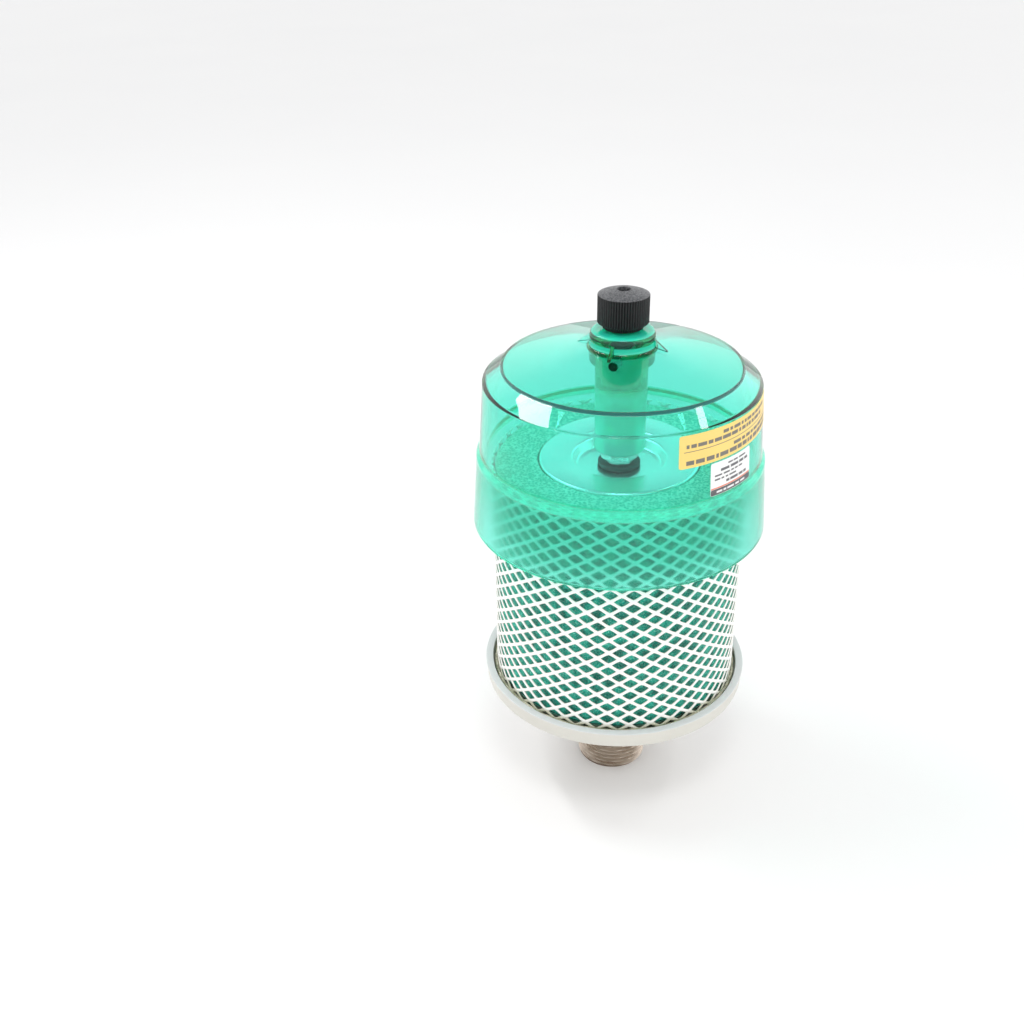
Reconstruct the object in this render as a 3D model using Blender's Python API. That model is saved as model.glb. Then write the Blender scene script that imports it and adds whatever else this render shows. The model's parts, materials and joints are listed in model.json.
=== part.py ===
"""Exhaust cleaner for a pneumatic circuit: a coalescing silencer with a drain bowl.

It stands on its R1 male port, with the drain knob at the top. The origin is the centre of the
port's end face, +Z runs up the body and -Y is the front. Everything turns about the Z axis.
"""

from math import cos, pi, radians, sin, tau

import bmesh
import bpy
from mathutils import Matrix, Vector

MM = 0.001
GAP = 0.3 * MM                    # between pieces that touch on the real object

# Port: R1 taper thread (ISO 7-1), 33.249 mm at the gauge plane, 2.309 mm pitch, taper 1 in 16
THREAD_MAJOR_R = 16.62 * MM
THREAD_GAUGE_Z = 10.4 * MM
THREAD_PITCH = 2.309 * MM
THREAD_DEPTH = 1.479 * MM
THREAD_TAPER = 1 / 32             # growth in radius per length
THREAD_TOP_Z = 19.5 * MM
PORT_FACE_R = 15.6 * MM
PORT_BORE_R = 12.5 * MM
HEX_FLAT_R = 20.5 * MM            # 41 mm across flats
HEX_BOTTOM_Z = 21.5 * MM
HEX_TOP_Z = 33.5 * MM
NECK_R = 17.5 * MM
FLANGE_R = 24.0 * MM
FLANGE_BOTTOM_Z = 44.0 * MM
SPIGOT_R = 17.9 * MM
SPIGOT_TOP_Z = 66.0 * MM
SPIDER_SEAT_R = 14.3 * MM

# Base plate: a shallow painted dish
BASE_BOTTOM_Z = 52.0 * MM
BASE_FLOOR_Z = 55.0 * MM
BASE_RIM_Z = 59.8 * MM
BASE_RIM_R = 61.7 * MM
BASE_FOOT_R = 60.9 * MM
BASE_INNER_R = 58.2 * MM

# Element: perforated core, coalescing layer, foam and a diamond net between two ends
ROD_R = 4.0 * MM                  # M8
ROD_BOTTOM_Z = 50.0 * MM
ROD_TOP_Z = 184.0 * MM
CORE_R = 29.2 * MM
CORE_INNER_R = 28.0 * MM
COALESCER_R = 34.0 * MM
FOAM_R = 54.2 * MM
NET_R = 56.2 * MM
NET_INNER_R = 54.9 * MM
NET_TOP_Z = 166.7 * MM
CAP_R = 35.5 * MM
CAP_TOP_Z = 166.4 * MM
CAP_SHEET = 1.5 * MM
CAP_DISH_R = 20.5 * MM
CAP_FLOOR_Z = 162.2 * MM
NUT_FLAT_R = 7.0 * MM             # 14 mm across flats
NUT_BOTTOM_Z = 164.7 * MM
NUT_TOP_Z = 170.4 * MM
NUT_CORNER_DEG = -25.6            # from the front, towards +X

# Drain case: one moulding
WALL = 2.5 * MM
SKIRT_BOTTOM_Z = 137.3 * MM
SKIRT_BOTTOM_R = 65.0 * MM
SKIRT_TOP_R = 62.7 * MM
SKIRT_TOP_DROP = 2.2 * MM
STEP_Z = 171.5 * MM
STEP_R = 61.4 * MM
SHOULDER_Z = 202.9 * MM
SHOULDER_R = 59.2 * MM
DISC_EDGE_Z = 210.1 * MM
DISC_EDGE_R = 51.0 * MM
DISC_EDGE_RISE = 1.3 * MM
DISC_CENTRE_Z = 218.3 * MM
BOSS_R = 13.8 * MM
BOSS_TOP_Z = 225.0 * MM
BOSS_BOTTOM_Z = 209.4 * MM
COLUMN_R = 11.3 * MM
COLUMN_BOTTOM_Z = 170.8 * MM
COLUMN_BORE_R = 7.5 * MM
COLUMN_BORE_TOP_Z = 195.0 * MM
COLUMN_INSERT_TOP_Z = 186.3 * MM
COCK_BORE_R = 5.5 * MM
COCK_BORE_BOTTOM_Z = 197.6 * MM
BUSH_SEAT_R = 5.8 * MM
BUSH_SEAT_Z = 218.9 * MM
GUSSET_TIP_R = 19.5 * MM
GUSSET_TOP_Z = 222.0 * MM
GUSSET_THICK = 1.3 * MM
GUSSET_FRONT_DEG = -16.4
DRAIN_HOLE_R = 2.0 * MM
DRAIN_HOLE_Z = 211.8 * MM
DRAIN_HOLE_DEG = -15.0

# Drain cock
KNOB_R = 10.8 * MM
KNOB_GROOVE = 0.45 * MM
KNOB_TEETH = 60
KNOB_COLLAR_R = 8.6 * MM
KNOB_BOTTOM_Z = 225.7 * MM
KNOB_RIM_Z = 239.8 * MM
KNOB_TOP_Z = 242.0 * MM
KNOB_HOLE_R = 2.8 * MM
SHANK_R = 4.3 * MM
SHANK_LIP_R = 2.2 * MM
SHANK_BORE_R = 3.1 * MM
BUSH_R = 5.45 * MM
BUSH_INNER_R = 4.6 * MM
PLUNGER_R = 3.6 * MM
PLUNGER_BORE_R = 1.1 * MM
VALVE_SEAT_R = 3.4 * MM

# Labels on the case, angles from the front towards +X
LABEL_THICK = 0.25 * MM
CAUTION_FROM_DEG = 22.5
CAUTION_TO_DEG = 84.0
CAUTION_LOW_Z = 188.2 * MM
CAUTION_HIGH_Z = 202.0 * MM
RATING_FROM_DEG = 36.5
RATING_TO_DEG = 60.0
RATING_LOW_Z = 173.2 * MM
RATING_HIGH_Z = 187.4 * MM

BIG = 60                          # facets round the case, the base and the net
MEDIUM = 36                       # facets round the element and the port
SMALL = 24                        # facets round the cock and the rod


def clear_scene():
    for old in list(bpy.data.objects):
        bpy.data.objects.remove(old, do_unlink=True)


def material(name, colour, roughness, metallic=0.0, alpha=1.0):
    mat = bpy.data.materials.get(name) or bpy.data.materials.new(name)
    mat.use_nodes = True
    shader = mat.node_tree.nodes["Principled BSDF"]
    shader.inputs["Base Color"].default_value = (*colour, 1.0)
    shader.inputs["Roughness"].default_value = roughness
    shader.inputs["Metallic"].default_value = metallic
    shader.inputs["Alpha"].default_value = alpha
    return mat


def painted_grey():
    return material("painted_grey", (0.74, 0.72, 0.65), 0.5)


def plated_steel():
    return material("plated_steel", (0.42, 0.34, 0.27), 0.35, 1.0)


def bright_steel():
    return material("bright_steel", (0.72, 0.73, 0.72), 0.3, 1.0)


def brass():
    return material("brass", (0.75, 0.58, 0.28), 0.3, 1.0)


def clear_green():
    return material("clear_green", (0.05, 0.75, 0.52), 0.08, 0.0, 0.45)


def black_plastic():
    return material("black_plastic", (0.02, 0.02, 0.022), 0.45)


def black_rubber():
    return material("black_rubber", (0.03, 0.03, 0.03), 0.7)


def natural_rubber():
    return material("natural_rubber", (0.62, 0.66, 0.58), 0.5)


def white_net():
    return material("white_net", (0.88, 0.88, 0.84), 0.4)


def green_media():
    return material("green_media", (0.01, 0.25, 0.18), 0.6)


def felt():
    return material("felt", (0.75, 0.73, 0.66), 0.9)


def amber_resin():
    return material("amber_resin", (0.55, 0.42, 0.18), 0.3)


def finish(name, bm, mat, smooth_deg=35):
    """Turn a bmesh into the named object, with its faces pointing out."""
    bmesh.ops.recalc_face_normals(bm, faces=bm.faces)
    mesh = bpy.data.meshes.new(name)
    bm.to_mesh(mesh)
    bm.free()
    mesh.materials.append(mat)
    mesh.shade_smooth()
    mesh.set_sharp_from_angle(angle=radians(smooth_deg))
    obj = bpy.data.objects.new(name, mesh)
    bpy.context.scene.collection.objects.link(obj)
    return obj


def turned(name, outline, mat, facets=MEDIUM, reach=None):
    """Turn a closed outline of (radius, height) points about Z.

    reach(index, angle, radius) may return another radius for a point, as on a hexagon.
    """
    bm = bmesh.new()
    rings = []
    for index, (radius, height) in enumerate(outline):
        ring = []
        for step in range(facets):
            angle = tau * step / facets
            r = reach(index, angle, radius) if reach else radius
            ring.append(bm.verts.new((r * cos(angle), r * sin(angle), height)))
        rings.append(ring)
    for index, ring in enumerate(rings):
        following = rings[(index + 1) % len(rings)]
        for step in range(facets):
            after = (step + 1) % facets
            bm.faces.new((ring[step], ring[after], following[after], following[step]))
    return finish(name, bm, mat)


def tube(name, inner_r, outer_r, low_z, high_z, mat, facets=MEDIUM):
    outline = [(outer_r, high_z), (outer_r, low_z), (inner_r, low_z), (inner_r, high_z)]
    return turned(name, outline, mat, facets)


def torus(name, ring_r, cord_r, height, mat, facets=MEDIUM, sides=8):
    outline = []
    for step in range(sides):
        angle = tau * step / sides
        outline.append((ring_r + cord_r * cos(angle), height - cord_r * sin(angle)))
    return turned(name, outline, mat, facets)


def cylinder(name, radius, low_z, high_z, mat, facets=SMALL):
    bm = bmesh.new()
    place = Matrix.Translation((0, 0, (low_z + high_z) / 2))
    bmesh.ops.create_cone(bm, cap_ends=True, segments=facets, radius1=radius, radius2=radius,
                          depth=high_z - low_z, matrix=place)
    return finish(name, bm, mat)


def from_front(degrees):
    """Unit vector at an angle from the front (-Y) towards +X."""
    return Vector((sin(radians(degrees)), -cos(radians(degrees)), 0))


def prism(bm, corners, thickness, sideways):
    """Add a flat plate: its corners, thickened both ways along sideways."""
    half = sideways * thickness / 2
    near = [bm.verts.new(corner - half) for corner in corners]
    far = [bm.verts.new(corner + half) for corner in corners]
    bm.faces.new(near)
    bm.faces.new(list(reversed(far)))
    for index in range(len(corners)):
        after = (index + 1) % len(corners)
        bm.faces.new((near[after], near[index], far[index], far[after]))


def cutter_from(bm, name):
    bmesh.ops.recalc_face_normals(bm, faces=bm.faces)
    mesh = bpy.data.meshes.new(name)
    bm.to_mesh(mesh)
    bm.free()
    obj = bpy.data.objects.new(name, mesh)
    bpy.context.scene.collection.objects.link(obj)
    obj.hide_render = True
    obj.display_type = "WIRE"
    return obj


def combine(obj, tool, operation):
    step = obj.modifiers.new(tool.name, "BOOLEAN")
    step.operation = operation
    step.solver = "EXACT"
    step.object = tool


def radial_pin(bm, degrees, height, radius, from_r, to_r, sides):
    """Add a cylinder that points outwards from the axis."""
    outwards = from_front(degrees)
    turn = outwards.to_track_quat("Z", "Y").to_matrix().to_4x4()
    middle = outwards * (from_r + to_r) / 2 + Vector((0, 0, height))
    bmesh.ops.create_cone(bm, cap_ends=True, segments=sides, radius1=radius, radius2=radius,
                          depth=to_r - from_r, matrix=Matrix.Translation(middle) @ turn)


def hexagon(flat_r, corner_deg, points):
    """Radius rule for an outline whose listed points lie on a hexagon."""
    corner = radians(corner_deg) - pi / 2
    sector = pi / 3

    def rule(index, angle, radius):
        if index not in points:
            return radius
        off = (angle - corner) % sector - sector / 2
        return min(radius, flat_r / cos(off)) if radius > flat_r else flat_r / cos(off)
    return rule


# ---------------------------------------------------------------- port and base

def thread_outline():
    """Ridges of the taper thread, from the top of the thread down to the end face."""
    points = []
    height = THREAD_TOP_Z
    while height - THREAD_PITCH > 1.2 * MM:
        crest_r = THREAD_MAJOR_R + (height - THREAD_GAUGE_Z) * THREAD_TAPER
        points.append((crest_r - THREAD_DEPTH, height))
        points.append((crest_r, height - 0.5 * THREAD_PITCH))
        height -= THREAD_PITCH
    root_r = THREAD_MAJOR_R + (height - THREAD_GAUGE_Z) * THREAD_TAPER - THREAD_DEPTH
    points.append((root_r, height))
    points.append((PORT_FACE_R + 0.6 * MM, height - 0.45 * THREAD_PITCH))
    points.append((PORT_FACE_R + 0.6 * MM, 0.6 * MM))
    points.append((PORT_FACE_R, 0.0))
    return points


def inlet_nipple():
    flange_top_z = BASE_BOTTOM_Z - 1.8 * MM
    above = [
        (SPIGOT_R, SPIGOT_TOP_Z),
        (SPIGOT_R, flange_top_z),
        (FLANGE_R, flange_top_z),
        (FLANGE_R, FLANGE_BOTTOM_Z),
        (NECK_R, FLANGE_BOTTOM_Z),
        (NECK_R, HEX_TOP_Z),
        (HEX_FLAT_R, HEX_TOP_Z),
        (HEX_FLAT_R, HEX_BOTTOM_Z),
        (15.4 * MM, HEX_BOTTOM_Z),
    ]
    inside = [
        (PORT_BORE_R + 0.8 * MM, 0.0),
        (PORT_BORE_R, 0.8 * MM),
        (PORT_BORE_R, SPIGOT_TOP_Z - 6.3 * MM),
        (SPIDER_SEAT_R, SPIGOT_TOP_Z - 6.3 * MM),
        (SPIDER_SEAT_R, SPIGOT_TOP_Z),
    ]
    hex_points = {6, 7}
    outline = above + thread_outline() + inside
    turned("inlet_nipple", outline, plated_steel(), MEDIUM, hexagon(HEX_FLAT_R, 0, hex_points))


def base_plate():
    outline = [
        (BASE_RIM_R - 0.3 * MM, BASE_RIM_Z),
        (BASE_RIM_R, BASE_RIM_Z - 0.3 * MM),
        (BASE_FOOT_R + 0.4 * MM, BASE_BOTTOM_Z + 1.2 * MM),
        (BASE_FOOT_R - 0.9 * MM, BASE_BOTTOM_Z),
        (SPIGOT_R + 0.4 * MM, BASE_BOTTOM_Z),
        (SPIGOT_R + 0.4 * MM, BASE_FLOOR_Z),
        (BASE_INNER_R - 1.0 * MM, BASE_FLOOR_Z),
        (BASE_INNER_R, BASE_FLOOR_Z + 1.0 * MM),
        (BASE_INNER_R, BASE_RIM_Z),
    ]
    turned("base_plate", outline, painted_grey(), BIG)


def port_fittings():
    tube("nipple_seal_ring", SPIGOT_R + 0.6 * MM, FLANGE_R, BASE_BOTTOM_Z - 1.5 * MM,
         BASE_BOTTOM_Z - GAP, felt())
    nut_r = 25.0 * MM
    slot_r = 22.6 * MM

    def slots(index, angle, radius):
        facet = round(angle / tau * MEDIUM) % (MEDIUM // 4)
        return slot_r if radius > slot_r and facet in (0, 1, 2) else radius

    outline = [(nut_r, 61.3 * MM), (nut_r, BASE_FLOOR_Z + GAP),
               (SPIGOT_R + 0.4 * MM, BASE_FLOOR_Z + GAP), (SPIGOT_R + 0.4 * MM, 61.3 * MM)]
    turned("nipple_lock_nut", outline, bright_steel(), MEDIUM, slots)


def rod_spider():
    """Three-armed bridge in the spigot's mouth that carries the tie rod."""
    low_z = SPIGOT_TOP_Z - 6.0 * MM
    high_z = SPIGOT_TOP_Z - 0.5 * MM
    spider = tube("rod_spider", ROD_R + GAP, SPIDER_SEAT_R - GAP, low_z, high_z, bright_steel())
    hub_r = 7.0 * MM
    ring_r = 11.6 * MM
    arm_deg = 26
    bm = bmesh.new()
    for window in range(3):
        start = window * 120 + arm_deg
        stop = (window + 1) * 120
        steps = 8
        angles = [start + (stop - start) * step / steps for step in range(steps + 1)]
        corners = [from_front(angle) * ring_r for angle in angles]
        corners += [from_front(angle) * hub_r for angle in reversed(angles)]
        middle = Vector((0, 0, (low_z + high_z) / 2))
        prism(bm, [corner + middle for corner in corners], 12 * MM, Vector((0, 0, 1)))
    combine(spider, cutter_from(bm, "spider_windows"), "DIFFERENCE")


def hex_nut(name, flat_r, low_z, high_z, corner_deg, mat):
    chamfer = 0.6 * MM
    corner_r = flat_r / cos(pi / 6)
    outline = [
        (flat_r * 0.97, high_z),
        (corner_r, high_z - chamfer),
        (corner_r, low_z + chamfer),
        (flat_r * 0.97, low_z),
        (ROD_R + 0.9 * MM, low_z),
        (ROD_R + GAP, low_z + chamfer),
        (ROD_R + GAP, high_z - chamfer),
        (ROD_R + 0.9 * MM, high_z),
    ]
    return turned(name, outline, mat, MEDIUM, hexagon(flat_r, corner_deg, {1, 2}))


def tie_rod():
    bm = bmesh.new()
    tip = 1.0 * MM
    length = ROD_TOP_Z - ROD_BOTTOM_Z
    bmesh.ops.create_cone(bm, cap_ends=True, segments=SMALL, radius1=ROD_R, radius2=ROD_R,
                          depth=length - 2 * tip,
                          matrix=Matrix.Translation((0, 0, ROD_BOTTOM_Z + length / 2)))
    for face in [f for f in bm.faces if len(f.verts) == SMALL]:
        out = face.normal.z
        moved = bmesh.ops.extrude_discrete_faces(bm, faces=[face])["faces"][0]
        bmesh.ops.translate(bm, verts=moved.verts, vec=(0, 0, tip * out))
        bmesh.ops.scale(bm, verts=moved.verts, vec=(0.8, 0.8, 1))
    finish("tie_rod", bm, bright_steel())


# ---------------------------------------------------------------- element

def element():
    tube("element_base_gasket", 28 * MM, 40 * MM, BASE_FLOOR_Z + GAP, 56.7 * MM, black_rubber())
    base_cap_top_z = 58.6 * MM
    outline = [
        (NET_INNER_R - GAP, base_cap_top_z),
        (NET_INNER_R - GAP, 57.0 * MM),
        (26.2 * MM, 57.0 * MM),
        (26.2 * MM, 63.0 * MM),
        (27.5 * MM, 63.0 * MM),
        (27.5 * MM, base_cap_top_z),
    ]
    turned("element_base_cap", outline, bright_steel())
    media_low_z = base_cap_top_z + GAP
    core_top_z = CAP_TOP_Z - CAP_SHEET - GAP
    tube("coalescing_layer", CORE_R + GAP, COALESCER_R, media_low_z, core_top_z, felt())
    tube("foam_media", COALESCER_R + GAP, FOAM_R, media_low_z, 162.6 * MM, green_media())
    tube("top_end_pad", CAP_R + 0.4 * MM, NET_INNER_R - GAP, 162.9 * MM, 165.9 * MM, green_media())
    tube("mesh_sleeve", NET_INNER_R, NET_R, BASE_FLOOR_Z + 0.6 * MM, NET_TOP_Z, white_net(), BIG)
    bead_low_z = BASE_FLOOR_Z + 0.4 * MM
    outline = [
        (NET_R + 0.9 * MM, bead_low_z + 2.8 * MM),
        (NET_R + 1.4 * MM, bead_low_z + 1.6 * MM),
        (NET_R + 0.8 * MM, bead_low_z + 0.3 * MM),
        (NET_R + GAP, bead_low_z),
        (NET_R + GAP, bead_low_z + 3.2 * MM),
    ]
    turned("resin_bead", outline, amber_resin(), BIG)


def core_tube():
    core_low_z = 58.9 * MM
    core_top_z = CAP_TOP_Z - CAP_SHEET - GAP
    core = tube("core_tube", CORE_INNER_R, CORE_R, core_low_z, core_top_z, bright_steel())
    rows = 4
    per_row = 6
    hole_r = 4.5 * MM
    bm = bmesh.new()
    for row in range(rows):
        height = core_low_z + (core_top_z - core_low_z) * (row + 1) / (rows + 1)
        for hole in range(per_row):
            degrees = 360 * (hole + 0.5 * (row % 2)) / per_row
            radial_pin(bm, degrees, height, hole_r, CORE_INNER_R - 3 * MM, CORE_R + 3 * MM, 6)
    combine(core, cutter_from(bm, "core_perforation"), "DIFFERENCE")


def element_top_cap():
    """Pressed plate with a turned-down lip and a dished middle that the nut clamps."""
    outline = [
        (CAP_R - 0.8 * MM, CAP_TOP_Z),
        (CAP_R, CAP_TOP_Z - 0.8 * MM),
        (CAP_R, 163.2 * MM),
        (CAP_R - 1.2 * MM, 163.2 * MM),
        (CAP_R - 1.2 * MM, CAP_TOP_Z - CAP_SHEET),
        (CAP_DISH_R + 1.0 * MM, CAP_TOP_Z - CAP_SHEET),
        (CAP_DISH_R - 1.6 * MM, CAP_FLOOR_Z - CAP_SHEET),
        (ROD_R + 0.4 * MM, CAP_FLOOR_Z - CAP_SHEET),
        (ROD_R + 0.4 * MM, CAP_FLOOR_Z),
        (CAP_DISH_R - 2.2 * MM, CAP_FLOOR_Z),
        (CAP_DISH_R - 1.0 * MM, CAP_FLOOR_Z + 0.8 * MM),
        (CAP_DISH_R, CAP_TOP_Z - 0.6 * MM),
        (CAP_DISH_R + 1.2 * MM, CAP_TOP_Z),
    ]
    turned("element_top_cap", outline, bright_steel())


def clamp_stack():
    tube("cap_seal_washer", ROD_R + 0.4 * MM, 9.3 * MM, CAP_FLOOR_Z + GAP, NUT_BOTTOM_Z - GAP,
         black_rubber(), SMALL)
    hex_nut("cap_nut", NUT_FLAT_R, NUT_BOTTOM_Z, NUT_TOP_Z, NUT_CORNER_DEG, bright_steel())
    foot_top_z = SPIGOT_TOP_Z - 6.0 * MM - GAP
    hex_nut("rod_foot_nut", 6.5 * MM, foot_top_z - 6.0 * MM, foot_top_z, 0, bright_steel())


# ---------------------------------------------------------------- case

def case_outline():
    outside = [
        (BOSS_R - 1.2 * MM, BOSS_TOP_Z),
        (BOSS_R, BOSS_TOP_Z - 1.2 * MM),
        (BOSS_R, DISC_CENTRE_Z),
        (DISC_EDGE_R, DISC_EDGE_Z),
        (DISC_EDGE_R, DISC_EDGE_Z - DISC_EDGE_RISE),
        (SHOULDER_R, SHOULDER_Z),
        (STEP_R, STEP_Z + 0.6 * MM),
        (STEP_R + 0.5 * MM, STEP_Z),
        (SKIRT_TOP_R, STEP_Z - SKIRT_TOP_DROP),
        (SKIRT_BOTTOM_R, SKIRT_BOTTOM_Z + 0.5 * MM),
        (SKIRT_BOTTOM_R - 0.6 * MM, SKIRT_BOTTOM_Z),
    ]
    disc_slope = (DISC_CENTRE_Z - DISC_EDGE_Z) / (DISC_EDGE_R - BOSS_R)
    disc_inside_z = DISC_EDGE_Z - WALL
    inside = [
        (SKIRT_BOTTOM_R - WALL, SKIRT_BOTTOM_Z),
        (SKIRT_TOP_R - WALL, STEP_Z - WALL - SKIRT_TOP_DROP),
        (STEP_R - WALL, STEP_Z - WALL),
        (SHOULDER_R - WALL, SHOULDER_Z - 0.8 * MM),
        (DISC_EDGE_R - 1.2 * MM, disc_inside_z),
        (BOSS_R, disc_inside_z + (DISC_EDGE_R - BOSS_R) * disc_slope),
        (BOSS_R, BOSS_BOTTOM_Z + 0.8 * MM),
        (COLUMN_R, BOSS_BOTTOM_Z),
        (COLUMN_R, COLUMN_BOTTOM_Z + 0.6 * MM),
        (COLUMN_R - 0.6 * MM, COLUMN_BOTTOM_Z),
        (COLUMN_BORE_R, COLUMN_BOTTOM_Z),
    ]
    return outside + inside


def drain_case():
    """The moulded bowl with its drain column; both bores are cut into a solid column."""
    closing = [(COLUMN_BORE_R, COLUMN_BORE_TOP_Z), (2.0 * MM, COLUMN_BORE_TOP_Z),
               (2.0 * MM, COCK_BORE_BOTTOM_Z), (COCK_BORE_R - 1.2 * MM, COCK_BORE_BOTTOM_Z),
               (COCK_BORE_R, COCK_BORE_BOTTOM_Z + 1.2 * MM), (COCK_BORE_R, BUSH_SEAT_Z),
               (BUSH_SEAT_R, BUSH_SEAT_Z), (BUSH_SEAT_R, BOSS_TOP_Z)]
    case = turned("drain_case", case_outline() + closing, clear_green(), BIG)
    fill = cylinder("column_core", 2.9 * MM, COLUMN_BORE_TOP_Z + 1 * MM,
                    COCK_BORE_BOTTOM_Z - 1 * MM, clear_green())
    fill.hide_render = True
    fill.display_type = "WIRE"
    combine(case, fill, "UNION")
    bm = bmesh.new()
    for turn in range(4):
        outwards = from_front(GUSSET_FRONT_DEG + 90 * turn)
        root = outwards * (BOSS_R - 1.0 * MM)
        tip = outwards * GUSSET_TIP_R
        disc_z = DISC_CENTRE_Z - 1.4 * MM
        tip_z = DISC_CENTRE_Z - 1.2 * MM
        corners = [root + Vector((0, 0, disc_z - 0.6 * MM)), tip + Vector((0, 0, disc_z - 0.9 * MM)),
                   tip + Vector((0, 0, tip_z)), root + Vector((0, 0, GUSSET_TOP_Z))]
        prism(bm, corners, GUSSET_THICK, outwards.cross(Vector((0, 0, 1))))
    combine(case, cutter_from(bm, "gusset_blanks"), "UNION")
    bm = bmesh.new()
    radial_pin(bm, DRAIN_HOLE_DEG, DRAIN_HOLE_Z, DRAIN_HOLE_R, COCK_BORE_R - 2 * MM,
               BOSS_R + 2 * MM, 16)
    combine(case, cutter_from(bm, "drain_hole_drill"), "DIFFERENCE")
    return case


def column_fittings():
    tube("column_guide_washer", ROD_R + 0.4 * MM, COLUMN_BORE_R - GAP, COLUMN_BOTTOM_Z + 0.2 * MM,
         172.1 * MM, black_plastic(), SMALL)
    torus("column_o_ring", 5.8 * MM, 1.15 * MM, 173.6 * MM, black_rubber(), SMALL)
    knurl_r = COLUMN_BORE_R - GAP
    outline = [
        (knurl_r, COLUMN_INSERT_TOP_Z),
        (knurl_r, 182.0 * MM),
        (knurl_r - 0.7 * MM, 181.5 * MM),
        (knurl_r - 0.7 * MM, 179.8 * MM),
        (knurl_r, 179.3 * MM),
        (knurl_r, 175.1 * MM),
        (ROD_R + GAP, 175.1 * MM),
        (ROD_R + GAP, COLUMN_INSERT_TOP_Z),
    ]
    turned("column_insert", outline, brass(), SMALL)


def case_radius(height):
    along = (height - STEP_Z) / (SHOULDER_Z - STEP_Z)
    return STEP_R + (SHOULDER_R - STEP_R) * along


def label(name, from_deg, to_deg, low_z, high_z, mat):
    """Thin patch that follows the cone of the upper case."""
    steps = max(2, round((to_deg - from_deg) / 5))
    bm = bmesh.new()
    sections = []
    for step in range(steps + 1):
        out = from_front(from_deg + (to_deg - from_deg) * step / steps)
        section = []
        for height, lift in ((low_z, GAP), (low_z, GAP + LABEL_THICK),
                             (high_z, GAP + LABEL_THICK), (high_z, GAP)):
            section.append(bm.verts.new(out * (case_radius(height) + lift) + Vector((0, 0, height))))
        sections.append(section)
    for first, second in zip(sections, sections[1:]):
        for side in range(4):
            after = (side + 1) % 4
            bm.faces.new((first[side], first[after], second[after], second[side]))
    bm.faces.new(sections[0])
    bm.faces.new(list(reversed(sections[-1])))
    return finish(name, bm, mat)


# ---------------------------------------------------------------- drain cock

def drain_cock():
    outline = [
        (BUSH_R, BOSS_TOP_Z - 0.5 * MM),
        (BUSH_R, BUSH_SEAT_Z + 0.5 * MM),
        (BUSH_INNER_R, BUSH_SEAT_Z + 0.5 * MM),
        (BUSH_INNER_R, BOSS_TOP_Z - 0.5 * MM),
    ]
    bush = turned("valve_bush", outline, black_plastic(), SMALL)
    seat = cylinder("valve_seat", VALVE_SEAT_R, COCK_BORE_BOTTOM_Z + GAP, 200.6 * MM, natural_rubber())
    tip = tube("plunger_tip_seal", PLUNGER_BORE_R + 0.4 * MM, PLUNGER_R + GAP, 200.9 * MM, 202.7 * MM,
               natural_rubber(), SMALL)
    groove_r = 3.4 * MM
    head_r = 2.7 * MM
    neck_r = 1.8 * MM
    flange_r = COCK_BORE_R - GAP - 0.05 * MM
    outline = [
        (head_r, 222.9 * MM),
        (head_r, 222.0 * MM),
        (neck_r, 222.0 * MM),
        (neck_r, 217.6 * MM),
        (flange_r, 217.6 * MM),
        (flange_r, 216.9 * MM),
        (groove_r, 216.9 * MM),
        (groove_r, 214.9 * MM),
        (flange_r, 214.9 * MM),
        (flange_r, 214.2 * MM),
        (PLUNGER_R, 213.6 * MM),
        (PLUNGER_R, 203.0 * MM),
        (PLUNGER_BORE_R, 203.0 * MM),
        (PLUNGER_BORE_R, 223.6 * MM),
        (neck_r, 223.6 * MM),
    ]
    plunger = turned("drain_plunger", outline, clear_green(), SMALL)
    ring = torus("plunger_o_ring", 4.3 * MM, 0.65 * MM, 215.9 * MM, natural_rubber(), SMALL)
    return bush, seat, tip, plunger, ring


def drain_knob():
    """Knurled knob with a threaded shank; the drain runs out of the hole in its domed top."""
    grip_low_z = KNOB_BOTTOM_Z + 2.4 * MM
    outline = [
        (KNOB_R - 0.4 * MM, KNOB_RIM_Z),
        (KNOB_R, KNOB_RIM_Z - 0.4 * MM),
        (KNOB_R, grip_low_z),
        (KNOB_COLLAR_R, grip_low_z - 0.8 * MM),
        (KNOB_COLLAR_R, KNOB_BOTTOM_Z),
        (SHANK_R, KNOB_BOTTOM_Z),
        (SHANK_R, 217.9 * MM),
        (SHANK_LIP_R, 217.9 * MM),
        (SHANK_LIP_R, 221.7 * MM),
        (SHANK_BORE_R, 221.7 * MM),
        (SHANK_BORE_R, 235.5 * MM),
        (KNOB_HOLE_R, 236.5 * MM),
        (KNOB_HOLE_R, KNOB_TOP_Z),
    ]
    knurled = {1, 2, 3, 4}
    facets = 2 * KNOB_TEETH

    def knurl(index, angle, radius):
        tooth = round(angle / tau * facets) % 2
        return radius - KNOB_GROOVE if index in knurled and tooth else radius

    return turned("drain_knob", outline, black_plastic(), facets, knurl)


def axis_empty(name, height):
    empty = bpy.data.objects.new(name, None)
    empty.location = (0, 0, height)
    bpy.context.scene.collection.objects.link(empty)
    return empty


def hang_from(children, parent):
    """Parent pieces without moving them."""
    bpy.context.view_layer.update()
    for child in children:
        child.parent = parent
        child.matrix_parent_inverse = parent.matrix_world.inverted()


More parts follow.
